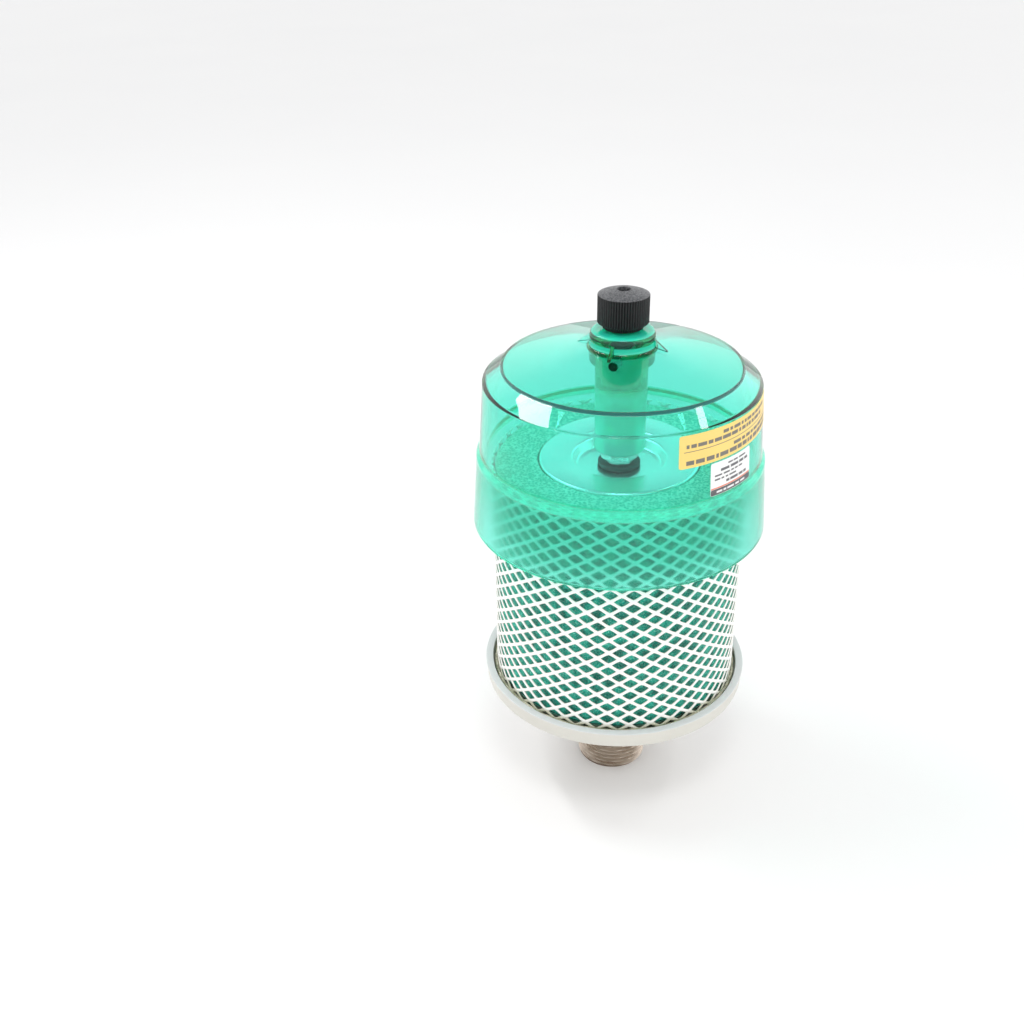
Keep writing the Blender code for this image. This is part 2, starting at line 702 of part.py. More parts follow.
def build():
    clear_scene()
    inlet_nipple()
    base_plate()
    port_fittings()
    rod_spider()
    tie_rod()
    element()
    core_tube()
    element_top_cap()
    clamp_stack()
    case = drain_case()
    column_fittings()
    yellow = material("label_yellow", (0.9, 0.66, 0.18), 0.5)
    white = material("label_white", (0.85, 0.85, 0.83), 0.5)
    labels = [
        label("caution_label", CAUTION_FROM_DEG, CAUTION_TO_DEG, CAUTION_LOW_Z, CAUTION_HIGH_Z, yellow),
        label("rating_label", RATING_FROM_DEG, RATING_TO_DEG, RATING_LOW_Z, RATING_HIGH_Z, white),
    ]
    bush, seat, tip, plunger, ring = drain_cock()
    knob = drain_knob()
    case_axis = axis_empty("case_screw_axis", COLUMN_BOTTOM_Z)
    knob_axis = axis_empty("knob_screw_axis", KNOB_BOTTOM_Z)
    fittings = [bpy.data.objects[name] for name in ("column_guide_washer", "column_o_ring", "column_insert")]
    hang_from([case, bush, seat, *labels, *fittings], case_axis)
    hang_from([knob, plunger, tip, ring], knob_axis)


build()
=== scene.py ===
"""Looks of an exhaust cleaner: a net-wrapped element under a clear green drain bowl.

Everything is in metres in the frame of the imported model: +Z runs up the body from the port's end
face, -Y is the front, and all turned pieces share the Z axis.
"""

import json
import random
from math import cos, hypot, pi, radians, sin, sqrt, tan, tau

import bmesh
import bpy
from mathutils import Matrix, Vector, noise


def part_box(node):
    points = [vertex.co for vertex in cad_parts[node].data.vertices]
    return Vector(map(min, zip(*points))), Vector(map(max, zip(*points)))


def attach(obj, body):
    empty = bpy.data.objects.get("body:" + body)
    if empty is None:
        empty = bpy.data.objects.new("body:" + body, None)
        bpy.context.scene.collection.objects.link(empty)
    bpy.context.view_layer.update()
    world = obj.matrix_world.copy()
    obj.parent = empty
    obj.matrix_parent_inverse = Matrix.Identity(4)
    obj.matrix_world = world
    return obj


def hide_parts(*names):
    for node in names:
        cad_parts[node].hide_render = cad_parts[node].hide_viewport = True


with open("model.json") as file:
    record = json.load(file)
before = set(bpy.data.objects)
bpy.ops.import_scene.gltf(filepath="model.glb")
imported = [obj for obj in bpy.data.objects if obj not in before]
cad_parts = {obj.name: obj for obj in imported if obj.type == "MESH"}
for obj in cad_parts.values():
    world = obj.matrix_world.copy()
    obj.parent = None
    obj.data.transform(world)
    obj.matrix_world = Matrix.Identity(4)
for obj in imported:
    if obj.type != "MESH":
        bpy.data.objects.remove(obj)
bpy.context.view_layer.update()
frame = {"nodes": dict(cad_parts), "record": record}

MM = 0.001

# Camera, in the object's own frame: metres, degrees and a lens in millimetres
CAMERA_PLACE = (0.0, -0.4584, 0.3974)
CAMERA_YAW = 5.97
CAMERA_DOWN = 29.59
CAMERA_ROLL = -1.28
CAMERA_LENS = 40.83

# Studio levels, as radiance where 1 is full white
BACK_WALL = 0.25
RIGHT_WALL = 0.5
LEFT_WALL = 0.3
FRONT_LEVEL = 1.15
CEILING_LEVEL = 0.62

LIGHT_DISTANCE = 1.1

# Finish of the bowl. A BODY is the share of cloudy colour in a zone, where 0 is clear, and
# COCK_SHARE is what is left of COLUMN_BODY beside the cock. The shares for the bore, the disc's edge
# and the drain hole are painted shade in dark green, and the one for the ledge is a painted light band
CLEAR_ROUGHNESS = 0.012
SATIN_ROUGHNESS = 0.07
SKIRT_FROST = 0.20
FOOT_FROST = 0.3
COLUMN_BODY = 0.5
COCK_SHARE = 0.45
SKIRT_BODY = 0.14
BORE_SHADE = 0.9
BOSS_BODY = 0.6
BAND_BODY = 0.05
LEDGE_LIGHT = 0.24
EDGE_SHADE = 0.75
HOLE_SHADE = 0.85

# Bowl, as in the CAD
WALL = 2.5 * MM
STEP_Z = 171.5 * MM
STEP_R = 61.4 * MM
SKIRT_TOP_R = 62.7 * MM
SKIRT_TOP_DROP = 2.2 * MM
SHOULDER_Z = 202.9 * MM
SHOULDER_R = 59.2 * MM
DISC_EDGE_Z = 210.1 * MM
DISC_EDGE_R = 51.0 * MM
DISC_EDGE_RISE = 1.3 * MM
DISC_CENTRE_Z = 218.3 * MM
BOSS_R = 13.8 * MM
BOSS_BOTTOM_Z = 209.4 * MM
COLUMN_R = 11.3 * MM
COCK_BORE_R = 5.5 * MM
BUSH_SEAT_R = 5.8 * MM
DRAIN_HOLE_AZIMUTH = -15.0
DRAIN_HOLE_Z = 211.8 * MM
DRAIN_HOLE_R = 2.0 * MM


# ---- frame measures

def low_z(node):
    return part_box(node)[0].z


def high_z(node):
    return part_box(node)[1].z


def reach_of(node):
    """Largest radius of a turned CAD node."""
    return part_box(node)[1].x


def extent(node):
    """Bottom, top and largest radius of a turned CAD node."""
    return low_z(node), high_z(node), reach_of(node)


def clamped(value, low=0.0):
    return min(1.0, max(low, value))


# ---- mesh helpers

def rounded(outline, steps=4):
    """Round the corners of a closed outline. Each is (radius, height, fillet in millimetres)."""
    nearly_straight = radians(176)
    most_of_side = 0.45
    points = []
    count = len(outline)
    for index, corner in enumerate(outline):
        fillet = corner[2] * MM if len(corner) > 2 else 0.0
        here = Vector(corner[:2])
        before = Vector(outline[index - 1][:2]) - here
        after = Vector(outline[(index + 1) % count][:2]) - here
        sharp = fillet <= 0 or before.length < 1e-9 or after.length < 1e-9
        if sharp or before.angle(after) > nearly_straight:
            points.append(tuple(here))
            continue
        half = before.angle(after) / 2
        cut = min(fillet / tan(half), most_of_side * before.length, most_of_side * after.length)
        before.normalize()
        after.normalize()
        centre = here + (before + after).normalized() * cut * tan(half) / sin(half)
        first = here + before * cut - centre
        last = here + after * cut - centre
        turn = first.angle_signed(last)
        for step in range(steps + 1):
            part = -turn * step / steps
            points.append((centre.x + first.x * cos(part) - first.y * sin(part),
                           centre.y + first.x * sin(part) + first.y * cos(part)))
    return points


def bridge(bm, near, far):
    """Faces between two closed rings of vertices."""
    for index in range(len(near)):
        after = (index + 1) % len(near)
        bm.faces.new((near[index], near[after], far[after], far[index]))


def lathe(bm, points, facets, shape=None):
    """Turn a closed outline about Z. shape(index, angle, radius, height) may move a point."""
    rings = []
    for index, (radius, height) in enumerate(points):
        ring = []
        for step in range(facets):
            angle = tau * step / facets
            r, z = shape(index, angle, radius, height) if shape else (radius, height)
            ring.append(bm.verts.new((r * cos(angle), r * sin(angle), z)))
        rings.append(ring)
    for index, ring in enumerate(rings):
        bridge(bm, ring, rings[(index + 1) % len(rings)])


def linked(name, data):
    obj = bpy.data.objects.new(name, data)
    bpy.context.scene.collection.objects.link(obj)
    return obj


def plain_object(name, bm):
    """Object from a bmesh, faces out."""
    bmesh.ops.recalc_face_normals(bm, faces=bm.faces)
    mesh = bpy.data.meshes.new(name)
    bm.to_mesh(mesh)
    bm.free()
    return linked(name, mesh)


def finished(name, bm, mat, sharp=40):
    """Object from a bmesh, smooth but for its sharp edges."""
    obj = plain_object(name, bm)
    obj.data.materials.append(mat)
    obj.data.shade_smooth()
    obj.data.set_sharp_from_angle(angle=radians(sharp))
    return obj


def place(obj, body, slot, *nodes):
    """Put a piece on its body, in place of the CAD nodes it stands for. The slot is not used."""
    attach(obj, body)
    if nodes:
        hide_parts(*nodes)


def turn_piece(name, points, facets, body, slot, node, shape=None, sharp=40, mat=None):
    """Piece turned about Z from a closed outline of plain points."""
    bm = bmesh.new()
    lathe(bm, points, facets, shape)
    place(finished(name, bm, mat or MATERIALS[slot], sharp), body, slot, node)


def from_front(degrees):
    """Unit vector at an angle from the front (-Y) towards +X."""
    return Vector((sin(radians(degrees)), -cos(radians(degrees)), 0))


def plate(bm, corners, thickness, sideways):
    """Flat plate: its corners, thickened both ways along sideways."""
    half = sideways * thickness / 2
    near = [bm.verts.new(corner - half) for corner in corners]
    far = [bm.verts.new(corner + half) for corner in corners]
    bm.faces.new(near)
    bm.faces.new(list(reversed(far)))
    bridge(bm, near, far)


def combine(obj, tool, operation):
    """Apply a Boolean and drop the tool."""
    step = obj.modifiers.new("combine", "BOOLEAN")
    step.operation = operation
    step.solver = "EXACT"
    step.object = tool
    graph = bpy.context.evaluated_depsgraph_get()
    made = bpy.data.meshes.new_from_object(obj.evaluated_get(graph))
    obj.modifiers.clear()
    obj.data = made
    bpy.data.objects.remove(tool)


def hexagon_radius(flat_r, angle, corner_deg):
    """Radius of a hexagon at an angle, by its flats and the place of a corner."""
    sector = pi / 3
    off = (angle - radians(corner_deg) + pi / 2) % sector - sector / 2
    return flat_r / cos(off)


# ---- material helpers

class Graph:
    """A node tree with short ways to add to it."""

    def __init__(self, tree, coords):
        self.tree = tree
        self.coords = self.add("ShaderNodeTexCoord").outputs[coords]

    def add(self, kind, **values):
        made = self.tree.nodes.new(kind)
        for name, value in values.items():
            setattr(made, name, value)
        return made

    def link(self, output, socket):
        self.tree.links.new(output, socket)

    def noise(self, scale, detail=3.0, rough=0.5):
        made = self.add("ShaderNodeTexNoise")
        made.inputs["Scale"].default_value = scale
        made.inputs["Detail"].default_value = detail
        made.inputs["Roughness"].default_value = rough
        self.link(self.coords, made.inputs["Vector"])
        return made.outputs["Fac"]

    def cells(self, scale, feature="F1"):
        made = self.add("ShaderNodeTexVoronoi", feature=feature)
        made.inputs["Scale"].default_value = scale
        self.link(self.coords, made.inputs["Vector"])
        return made.outputs["Distance"]

    def math(self, operation, first, second=0.0):
        made = self.add("ShaderNodeMath", operation=operation)
        for index, value in enumerate((first, second)):
            if isinstance(value, (int, float)):
                made.inputs[index].default_value = value
            else:
                self.link(value, made.inputs[index])
        return made.outputs[0]

    def times(self, *factors):
        product = factors[0]
        for factor in factors[1:]:
            product = self.math("MULTIPLY", product, factor)
        return product

    def span(self, value, from_low, from_high, to_low=0.0, to_high=1.0):
        """Smooth step of a value from one range to another."""
        made = self.add("ShaderNodeMapRange", interpolation_type="SMOOTHSTEP")
        for name, number in (("From Min", from_low), ("From Max", from_high),
                             ("To Min", to_low), ("To Max", to_high)):
            made.inputs[name].default_value = number
        self.link(value, made.inputs["Value"])
        return made.outputs["Result"]

    def zone(self, value, start, full, full_end, end):
        """1 where a value, in millimetres, lies between full and full_end, fading to 0 outside."""
        return self.times(self.span(value, start * MM, full * MM), self.span(value, end * MM, full_end * MM))

    def mix(self, factor, first, second):
        """Colour mix. Each colour is a tuple or a socket."""
        made = self.add("ShaderNodeMix", data_type="RGBA")
        self.link(factor, made.inputs["Factor"])
        for name, value in (("A", first), ("B", second)):
            socket = [io for io in made.inputs if io.name == name and io.type == "RGBA"][0]
            if isinstance(value, tuple):
                socket.default_value = (*value, 1.0)
            else:
                self.link(value, socket)
        return [io for io in made.outputs if io.type == "RGBA"][0]

    def axes(self):
        split = self.add("ShaderNodeSeparateXYZ")
        self.link(self.coords, split.inputs[0])
        return split.outputs


class Shader(Graph):
    """A Principled material with procedural detail."""

    def __init__(self, name, colour, roughness, metallic=0.0, **sockets):
        self.mat = bpy.data.materials.new(name)
        self.mat.use_nodes = True
        super().__init__(self.mat.node_tree, "Object")
        self.shader = self.tree.nodes["Principled BSDF"]
        self.set("Base Color", (*colour, 1.0))
        self.set("Roughness", roughness)
        self.set("Metallic", metallic)
        for socket, value in sockets.items():
            self.set(socket.replace("_", " "), value)

    def set(self, socket, value):
        self.shader.inputs[socket].default_value = value

    def axis_parts(self):
        """(radius from the Z axis, height) as sockets."""
        x, y, z = self.axes()
        return self.distance(x, y), z

    def distance(self, x, y):
        return self.math("SQRT", self.math("ADD", self.times(x, x), self.times(y, y)))

    def along(self, direction):
        """How far a point lies from the origin along a direction."""
        made = self.add("ShaderNodeVectorMath", operation="DOT_PRODUCT")
        made.inputs[1].default_value = tuple(direction)
        self.link(self.coords, made.inputs[0])
        return made.outputs["Value"]

    def hole_mask(self, azimuth, height, reach):
        """1 in a round hole drilled level through the boss's wall."""
        side = self.along(from_front(azimuth + 90))
        up = self.math("SUBTRACT", self.axis_parts()[1], height)
        inside = self.span(self.distance(side, up), reach + 0.08 * MM, reach + 0.02 * MM)
        depth = self.along(from_front(azimuth))
        wall = self.times(self.span(depth, COCK_BORE_R + 0.4 * MM, COCK_BORE_R + 0.7 * MM),
                          self.span(depth, BOSS_R + 0.4 * MM, BOSS_R + 0.2 * MM))
        return self.times(inside, wall)

    def turning_marks(self, frequency):
        """Fine rings left by a lathe, as a factor that changes with radius and height."""
        radius, height = self.axis_parts()
        made = self.add("ShaderNodeTexNoise", noise_dimensions="1D")
        made.inputs["Scale"].default_value = frequency
        made.inputs["Detail"].default_value = 4.0
        self.link(self.math("ADD", radius, self.times(height, 1.3)), made.inputs["W"])
        return made.outputs["Fac"]

    def bump(self, height, strength, distance):
        made = self.add("ShaderNodeBump")
        made.inputs["Strength"].default_value = strength
        made.inputs["Distance"].default_value = distance
        self.link(height, made.inputs["Height"])
        self.link(made.outputs["Normal"], self.shader.inputs["Normal"])

    def rough(self, factor, low, high):
        self.link(self.span(factor, 0.3, 0.7, low, high), self.shader.inputs["Roughness"])

    def colour(self, socket):
        self.link(socket, self.shader.inputs["Base Color"])

    def attribute(self, name):
        made = self.add("ShaderNodeAttribute", attribute_name=name)
        return made.outputs["Fac"]

    def dye(self, colour, density):
        """Colour by the depth of plastic that light crosses, with soft shadows."""
        dye = self.add("ShaderNodeVolumeAbsorption")
        dye.inputs["Color"].default_value = colour
        dye.inputs["Density"].default_value = density
        output = self.tree.nodes["Material Output"]
        self.link(dye.outputs[0], output.inputs["Volume"])
        choose = self.add("ShaderNodeMixShader")
        self.link(self.add("ShaderNodeLightPath").outputs["Is Shadow Ray"], choose.inputs[0])
        self.link(self.shader.outputs[0], choose.inputs[1])
        self.link(self.add("ShaderNodeBsdfTransparent").outputs[0], choose.inputs[2])
        self.link(choose.outputs[0], output.inputs["Surface"])


def clear_green():
    """Glossy green moulding. The column is satin and milky outside, the boss is deeper in colour, the
    skirt is lightly frosted, painted shade darkens the bore's wall, the disc's edge and the drain hole,
    and a painted light band runs along the step."""
    s = Shader("clear_green", (1.0, 1.0, 1.0), CLEAR_ROUGHNESS, Transmission_Weight=1.0, IOR=1.49)
    radius, height = s.axis_parts()
    column_r, boss_r, disc_r = COLUMN_R / MM, BOSS_R / MM, DISC_EDGE_R / MM
    boss_low, boss_full = 216.2 * MM, 217.0 * MM
    satin = s.times(s.zone(radius, column_r - 1.6, column_r - 1.2, boss_r + 0.5, boss_r + 0.9),
                    s.span(height, boss_full, boss_low))
    milk = s.times(satin, s.span(height, 196.0 * MM, 200.0 * MM, 1.0, COCK_SHARE))
    # Painted shade: the bore's wall gets a deep green in its colour, darker than the milky column.
    bore = s.times(s.span(radius, 6.6 * MM, 6.2 * MM), s.zone(height, 197.0, 197.3, 217.5, 218.5))
    band = s.zone(height, 220.6, 221.2, 224.0, 224.4)
    boss = s.times(s.zone(radius, 6.2, 6.6, boss_r + 0.2, boss_r + 0.5), s.span(height, boss_low, boss_full),
                   s.math("SUBTRACT", BOSS_BODY, s.times(band, BOSS_BODY - BAND_BODY)))
    off_centre = s.span(radius, 50 * MM, 52 * MM)
    skirt = s.times(s.span(height, 169.5 * MM, 168.0 * MM), s.span(radius, 62.9 * MM, 62.4 * MM), off_centre)
    # Painted light: a bright milky green band in the colour along the step's ring.
    ledge = s.times(s.zone(height, 167.4, 168.2, 171.9, 172.5), off_centre)
    # Painted shade: the disc's raised edge gets a near-black green in its colour.
    edge = s.times(s.zone(radius, disc_r - 0.25, disc_r - 0.1, disc_r + 0.3, disc_r + 0.5),
                   s.zone(height, 208.4, 208.6, 209.9, 210.0))
    # Painted shade: the walls of the drain hole get a near-black green in their colour.
    hole = s.hole_mask(DRAIN_HOLE_AZIMUTH, DRAIN_HOLE_Z, DRAIN_HOLE_R)
    foot = s.times(s.span(height, 137.9 * MM, 137.6 * MM), FOOT_FROST)
    uneven = s.span(s.noise(60, 2), 0.3, 0.7, 0.8, 1.2)
    rough = s.math("ADD", s.times(satin, SATIN_ROUGHNESS), s.times(skirt, SKIRT_FROST))
    rough = s.times(s.math("MAXIMUM", rough, foot), uneven)
    s.link(s.math("ADD", rough, CLEAR_ROUGHNESS), s.shader.inputs["Roughness"])
    body = s.math("ADD", s.times(milk, COLUMN_BODY), s.times(skirt, SKIRT_BODY))
    body = s.math("ADD", s.math("ADD", body, boss), s.times(bore, BORE_SHADE))
    for part, share in ((ledge, LEDGE_LIGHT), (edge, EDGE_SHADE), (hole, HOLE_SHADE)):
        body = s.math("MAXIMUM", body, s.times(part, share))
    s.link(s.math("SUBTRACT", 1.0, body), s.shader.inputs["Transmission Weight"])
    # Tints by zone. Those of the bore, the disc's edge and the hole are painted shade, that of the ledge a
    # painted light band.
    tint = (1.0, 1.0, 1.0)
    for part, colour in ((s.math("MAXIMUM", satin, skirt), (0.55, 1.0, 0.92)),
                         (ledge, (0.16, 0.98, 0.82)), (bore, (0.0, 0.78, 0.57)),
                         (s.math("GREATER_THAN", boss, 0.01), (0.03, 0.82, 0.60)),
                         (edge, (0.0, 0.17, 0.15)), (hole, (0.0, 0.045, 0.035))):
        tint = s.mix(part, tint, colour)
    s.colour(tint)
    s.bump(s.noise(35, 1), 0.06, 0.0006)
    s.dye((0.0, 0.91, 0.815, 1.0), 390.0)
    return s.mat


def painted_grey():
    """Warm grey paint, bare along the machined rim."""
    s = Shader("painted_grey", (0.63, 0.615, 0.56), 0.42, Coat_Weight=0.15, Coat_Roughness=0.25)
    rim_z = high_z("base_plate")
    rim = s.span(s.axis_parts()[1], rim_z - 0.5 * MM, rim_z - 0.1 * MM)
    mottled = s.mix(s.noise(90, 4), (0.60, 0.585, 0.53), (0.67, 0.655, 0.60))
    s.colour(s.mix(rim, mottled, (0.62, 0.635, 0.64)))
    s.rough(s.noise(700, 3), 0.36, 0.5)
    s.bump(s.noise(900, 2), 0.12, 0.0002)
    return s.mat


def plated_brown():
    s = Shader("plated_brown", (0.36, 0.29, 0.23), 0.32, 1.0)
    marks = s.turning_marks(2600)
    tone = s.mix(s.noise(60, 4), (0.33, 0.275, 0.225), (0.47, 0.395, 0.33))
    s.colour(s.mix(s.span(marks, 0.35, 0.65, 0.0, 0.45), tone, (0.60, 0.53, 0.46)))
    s.rough(marks, 0.24, 0.42)
    s.bump(marks, 0.25, 0.00012)
    return s.mat


def black_plastic():
    """Satin black moulding, with a sheen painted as pale grey specks in the colour of the knob's cone."""
    s = Shader("black_plastic", (0.006, 0.007, 0.008), 0.45)
    top = high_z("drain_knob")
    cone = s.span(s.axis_parts()[1], top - 2.25 * MM, top - 2.1 * MM)
    plain = s.mix(s.noise(500, 4), (0.003, 0.004, 0.005), (0.008, 0.009, 0.010))
    # Painted sheen: pale grey specks in the colour of the knob's top cone.
    specks = s.span(s.noise(1500, 3, 0.6), 0.35, 0.7)
    s.colour(s.mix(cone, plain, s.mix(specks, (0.03, 0.032, 0.035), (0.15, 0.155, 0.165))))
    s.rough(s.noise(900, 3), 0.40, 0.55)
    s.bump(s.noise(2600, 3), 0.35, 0.00015)
    return s.mat


def white_net():
    """White strands, dulled by glue at the foot; the cut walls of the openings are tan,
    partly their own tone and partly painted shade.
    """
    s = Shader("white_net", (0.9, 0.9, 0.87), 0.34, Coat_Weight=0.2, Coat_Roughness=0.2)
    foot_z = low_z("mesh_sleeve")
    clean = s.mix(s.noise(240, 3), (0.86, 0.86, 0.83), (0.95, 0.95, 0.92))
    # Partly painted shade: the cut walls of the openings are darker tan than the strands.
    walls = s.mix(s.attribute("wall"), clean, (0.50, 0.44, 0.36))
    uneven = s.times(s.math("SUBTRACT", s.noise(110, 4), 0.5), 6 * MM)
    ragged = s.math("ADD", s.axis_parts()[1], uneven)
    glued = s.span(ragged, foot_z + 6.5 * MM, foot_z + 3.0 * MM)
    s.colour(s.mix(glued, walls, (0.58, 0.58, 0.44)))
    s.rough(s.noise(600, 3), 0.28, 0.42)
    s.bump(s.noise(1100, 3), 0.12, 0.0002)
    return s.mat


def green_foam():
    """Wet-looking open foam: green cells, with glints painted as pale specks along the ridges."""
    s = Shader("green_foam", (0.01, 0.3, 0.22), 0.28, Specular_IOR_Level=0.7,
               Sheen_Weight=1.0, Sheen_Roughness=0.45)
    s.set("Sheen Tint", (0.12, 1.0, 0.76, 1.0))
    blotches = s.span(s.noise(210, 4, 0.62), 0.36, 0.66)
    # Painted glints: pale mint streaks in the colour, stronger on the lighter blotches.
    glint_streaks = s.span(s.noise(1500, 4, 0.7), 0.5, 0.72)
    deep = s.mix(blotches, (0.001, 0.15, 0.11), (0.02, 0.54, 0.40))
    glints = s.times(glint_streaks, s.span(blotches, 0.0, 1.0, 0.35, 1.0))
    s.colour(s.mix(glints, deep, (0.35, 0.95, 0.78)))
    s.rough(s.noise(900, 2), 0.14, 0.4)
    ridges = s.math("ADD", s.noise(700, 5, 0.65), s.cells(650, "SMOOTH_F1"))
    s.bump(ridges, 0.8, 0.0007)
    return s.mat


def granular_end():
    s = Shader("granular_end", (0.03, 0.42, 0.32), 0.5)
    grains = s.cells(900)
    tone = s.mix(s.noise(200, 5, 0.65), (0.05, 0.36, 0.28), (0.24, 0.56, 0.46))
    s.colour(s.mix(s.span(grains, 0.35, 0.75), tone, (0.36, 0.68, 0.58)))
    s.rough(s.noise(800, 2), 0.35, 0.6)
    s.bump(s.math("ADD", grains, s.noise(500, 5, 0.7)), 0.5, 0.0005)
    return s.mat


def amber_resin():
    s = Shader("amber_resin", (0.5, 0.42, 0.2), 0.18, Transmission_Weight=0.35, IOR=1.5,
               Coat_Weight=0.5, Coat_Roughness=0.08)
    s.colour(s.mix(s.span(s.noise(190, 4, 0.6), 0.35, 0.65), (0.40, 0.42, 0.27), (0.80, 0.76, 0.56)))
    s.rough(s.noise(300, 3), 0.1, 0.3)
    s.bump(s.noise(420, 3), 0.5, 0.0006)
    return s.mat


def plain(name, base, roughness, tones, gloss=None, grain=None, metallic=0.0, **sockets):
    """Material with mottled tones, uneven gloss and a fine grain. Tones and gloss are (pattern, low,
    high) and grain is (pattern, strength, distance). A pattern holds the arguments of a noise, or is
    the frequency of turning marks."""
    s = Shader(name, base, roughness, metallic, **sockets)

    def drawn(pattern):
        return s.noise(*pattern) if isinstance(pattern, tuple) else s.turning_marks(pattern)

    s.colour(s.mix(drawn(tones[0]), *tones[1:]))
    if gloss:
        s.rough(drawn(gloss[0]), *gloss[1:])
    if grain:
        s.bump(drawn(grain[0]), *grain[1:])
    return s.mat


def printed_film(name, colour):
    dull = tuple(0.93 * part for part in colour)
    return plain(name, colour, 0.42, ((70, 4), dull, colour), ((600, 2), 0.36, 0.5),
                 Coat_Weight=0.25, Coat_Roughness=0.2)


def ink(name, colour):
    """Print, worn pale in specks."""
    s = Shader(name, colour, 0.5)
    wear = 0.2
    worn_grey = 0.45
    pale = tuple((1 - wear) * part + wear * worn_grey for part in colour)
    s.colour(s.mix(s.span(s.noise(1700, 4, 0.7), 0.42, 0.75), colour, pale))
    return s.mat


MATERIALS = {
    "painted_grey": painted_grey(),
    "plated_steel": plated_brown(),
    "bright_steel": plain("bright_steel", (0.74, 0.75, 0.74), 0.25,
                          ((120, 3), (0.66, 0.67, 0.66), (0.8, 0.81, 0.8)),
                          (1800, 0.16, 0.34), (1800, 0.15, 0.0001), 1.0),
    "cap_steel": plain("cap_steel", (0.86, 0.87, 0.86), 0.26,
                       ((80, 4), (0.80, 0.81, 0.80), (0.88, 0.89, 0.88)),
                       ((140, 2), 0.22, 0.27), metallic=1.0),
    "brass": plain("brass", (0.75, 0.58, 0.28), 0.3,
                   ((150, 4), (0.68, 0.5, 0.22), (0.84, 0.68, 0.36)), (2400, 0.2, 0.38), metallic=1.0),
    "clear_green": clear_green(),
    "black_plastic": black_plastic(),
    "black_rubber": plain("black_rubber", (0.02, 0.02, 0.02), 0.6,
                          ((400, 4), (0.012, 0.012, 0.012), (0.04, 0.04, 0.04)),
                          ((700, 3), 0.5, 0.72), ((1500, 3), 0.2, 0.00015)),
    "natural_rubber": plain("natural_rubber", (0.62, 0.66, 0.58), 0.5,
                            ((400, 4), (0.56, 0.60, 0.52), (0.70, 0.73, 0.66)),
                            ((700, 3), 0.42, 0.6), ((1500, 3), 0.15, 0.00012),
                            Subsurface_Weight=0.2, Subsurface_Scale=0.001),
    "white_net": white_net(),
    "green_media": green_foam(),
    "end_pad": granular_end(),
    "felt": plain("felt", (0.75, 0.73, 0.66), 0.95, ((500, 5, 0.7), (0.62, 0.6, 0.53), (0.84, 0.82, 0.76)),
                  None, ((1400, 5, 0.7), 0.6, 0.0004), Sheen_Weight=0.4),
    "fibre": plain("fibre", (0.32, 0.30, 0.27), 0.8, ((800, 4), (0.24, 0.22, 0.19), (0.4, 0.38, 0.34)),
                   None, ((1600, 4), 0.4, 0.0002)),
    "amber_resin": amber_resin(),
    "label_yellow": printed_film("label_yellow", (0.93, 0.66, 0.19)),
    "label_white": printed_film("label_white", (0.88, 0.88, 0.87)),
}


# ---- port and base

PORT_BODY = "port_and_element"
CASE_BODY = "case"
PLUNGER_BODY = "cock_plunger"
KNOB_BODY = "cock_knob"


def make_port():
    """Turned port with a helical R1 taper thread, hexagon, neck, flange and spigot."""
    _, top_z, flange_r = extent("inlet_nipple")
    pitch = 2.309 * MM
    depth = 1.479 * MM
    root_flat = 0.08
    flank = 0.82
    runout = 1.2 * pitch
    gauge_z = 10.4 * MM
    gauge_r = 16.62 * MM
    radius_taper = 1 / 32
    thread_low_z = 0.9 * MM
    thread_top_z = 19.5 * MM
    thread_steps = 108
    face_r = 15.6 * MM
    lead_r = face_r + 0.35 * MM
    relief_r = 15.2 * MM
    hex_low_z = 21.5 * MM
    hex_top_z = 33.5 * MM
    hex_flat_r = 20.5 * MM
    hex_corner_r = 23.3 * MM
    hex_sides_beyond_r = 19 * MM
    hex_end = 0.1 * MM
    bevel = 0.6 * MM
    bevel_rise = 0.9 * MM
    neck_r = 17.5 * MM
    flange_low_z = 44.0 * MM
    flange_top_z = 50.2 * MM
    spigot_r = 17.9 * MM
    bore_r = 12.5 * MM
    bore_mouth_r = 13.2 * MM
    recess_r = 14.3 * MM
    recess_z = 59.7 * MM
    upper = rounded([
        (spigot_r, top_z, 0.4), (spigot_r, flange_top_z, 0.3),
        (flange_r, flange_top_z, 0.5), (flange_r, flange_low_z, 0.8),
        (neck_r, flange_low_z, 1.2), (neck_r, hex_top_z, 0.8),
        (hex_flat_r - bevel, hex_top_z, 0.2), (hex_flat_r, hex_top_z - bevel_rise, 0.1),
        (hex_flat_r, hex_low_z + bevel_rise, 0.1), (hex_flat_r - bevel, hex_low_z, 0.2),
        (relief_r, hex_low_z, 0.5), (relief_r, thread_top_z + 0.5 * MM, 0.4),
    ], 3)
    lower = rounded([
        (lead_r, thread_low_z * 0.6, 0.2), (face_r, 0.0, 0.2),
        (bore_mouth_r, 0.0, 0.3), (bore_r, 0.9 * MM, 0.3),
        (bore_r, recess_z, 0.2), (recess_r, recess_z, 0.2), (recess_r, top_z, 0.3),
    ], 3)
    spacing = (thread_top_z - thread_low_z) / thread_steps
    thread = [(gauge_r, thread_top_z - spacing * step) for step in range(thread_steps + 1)]

    def shape(index, angle, radius, height):
        if len(upper) <= index < len(upper) + len(thread):
            phase = (height / pitch + angle / tau) % 1.0
            ridge = clamped((1 - abs(2 * phase - 1) - root_flat) / flank)
            major = gauge_r + (height - gauge_z) * radius_taper
            cut = depth * (1 - ridge) * clamped((thread_top_z - height) / runout)
            lead = clamped((height - 0.2 * MM) / (1.6 * MM)) * 4 * MM
            return min(major - cut, lead_r + lead), height
        on_hex = radius > hex_sides_beyond_r and hex_low_z + hex_end < height < hex_top_z - hex_end
        if on_hex and index < len(upper):
            return min(hexagon_radius(radius, angle, 0), hex_corner_r), height
        return radius, height

    turn_piece("port_nipple", upper + thread + lower, 192, PORT_BODY, "plated_steel", "inlet_nipple",
               shape, 32)


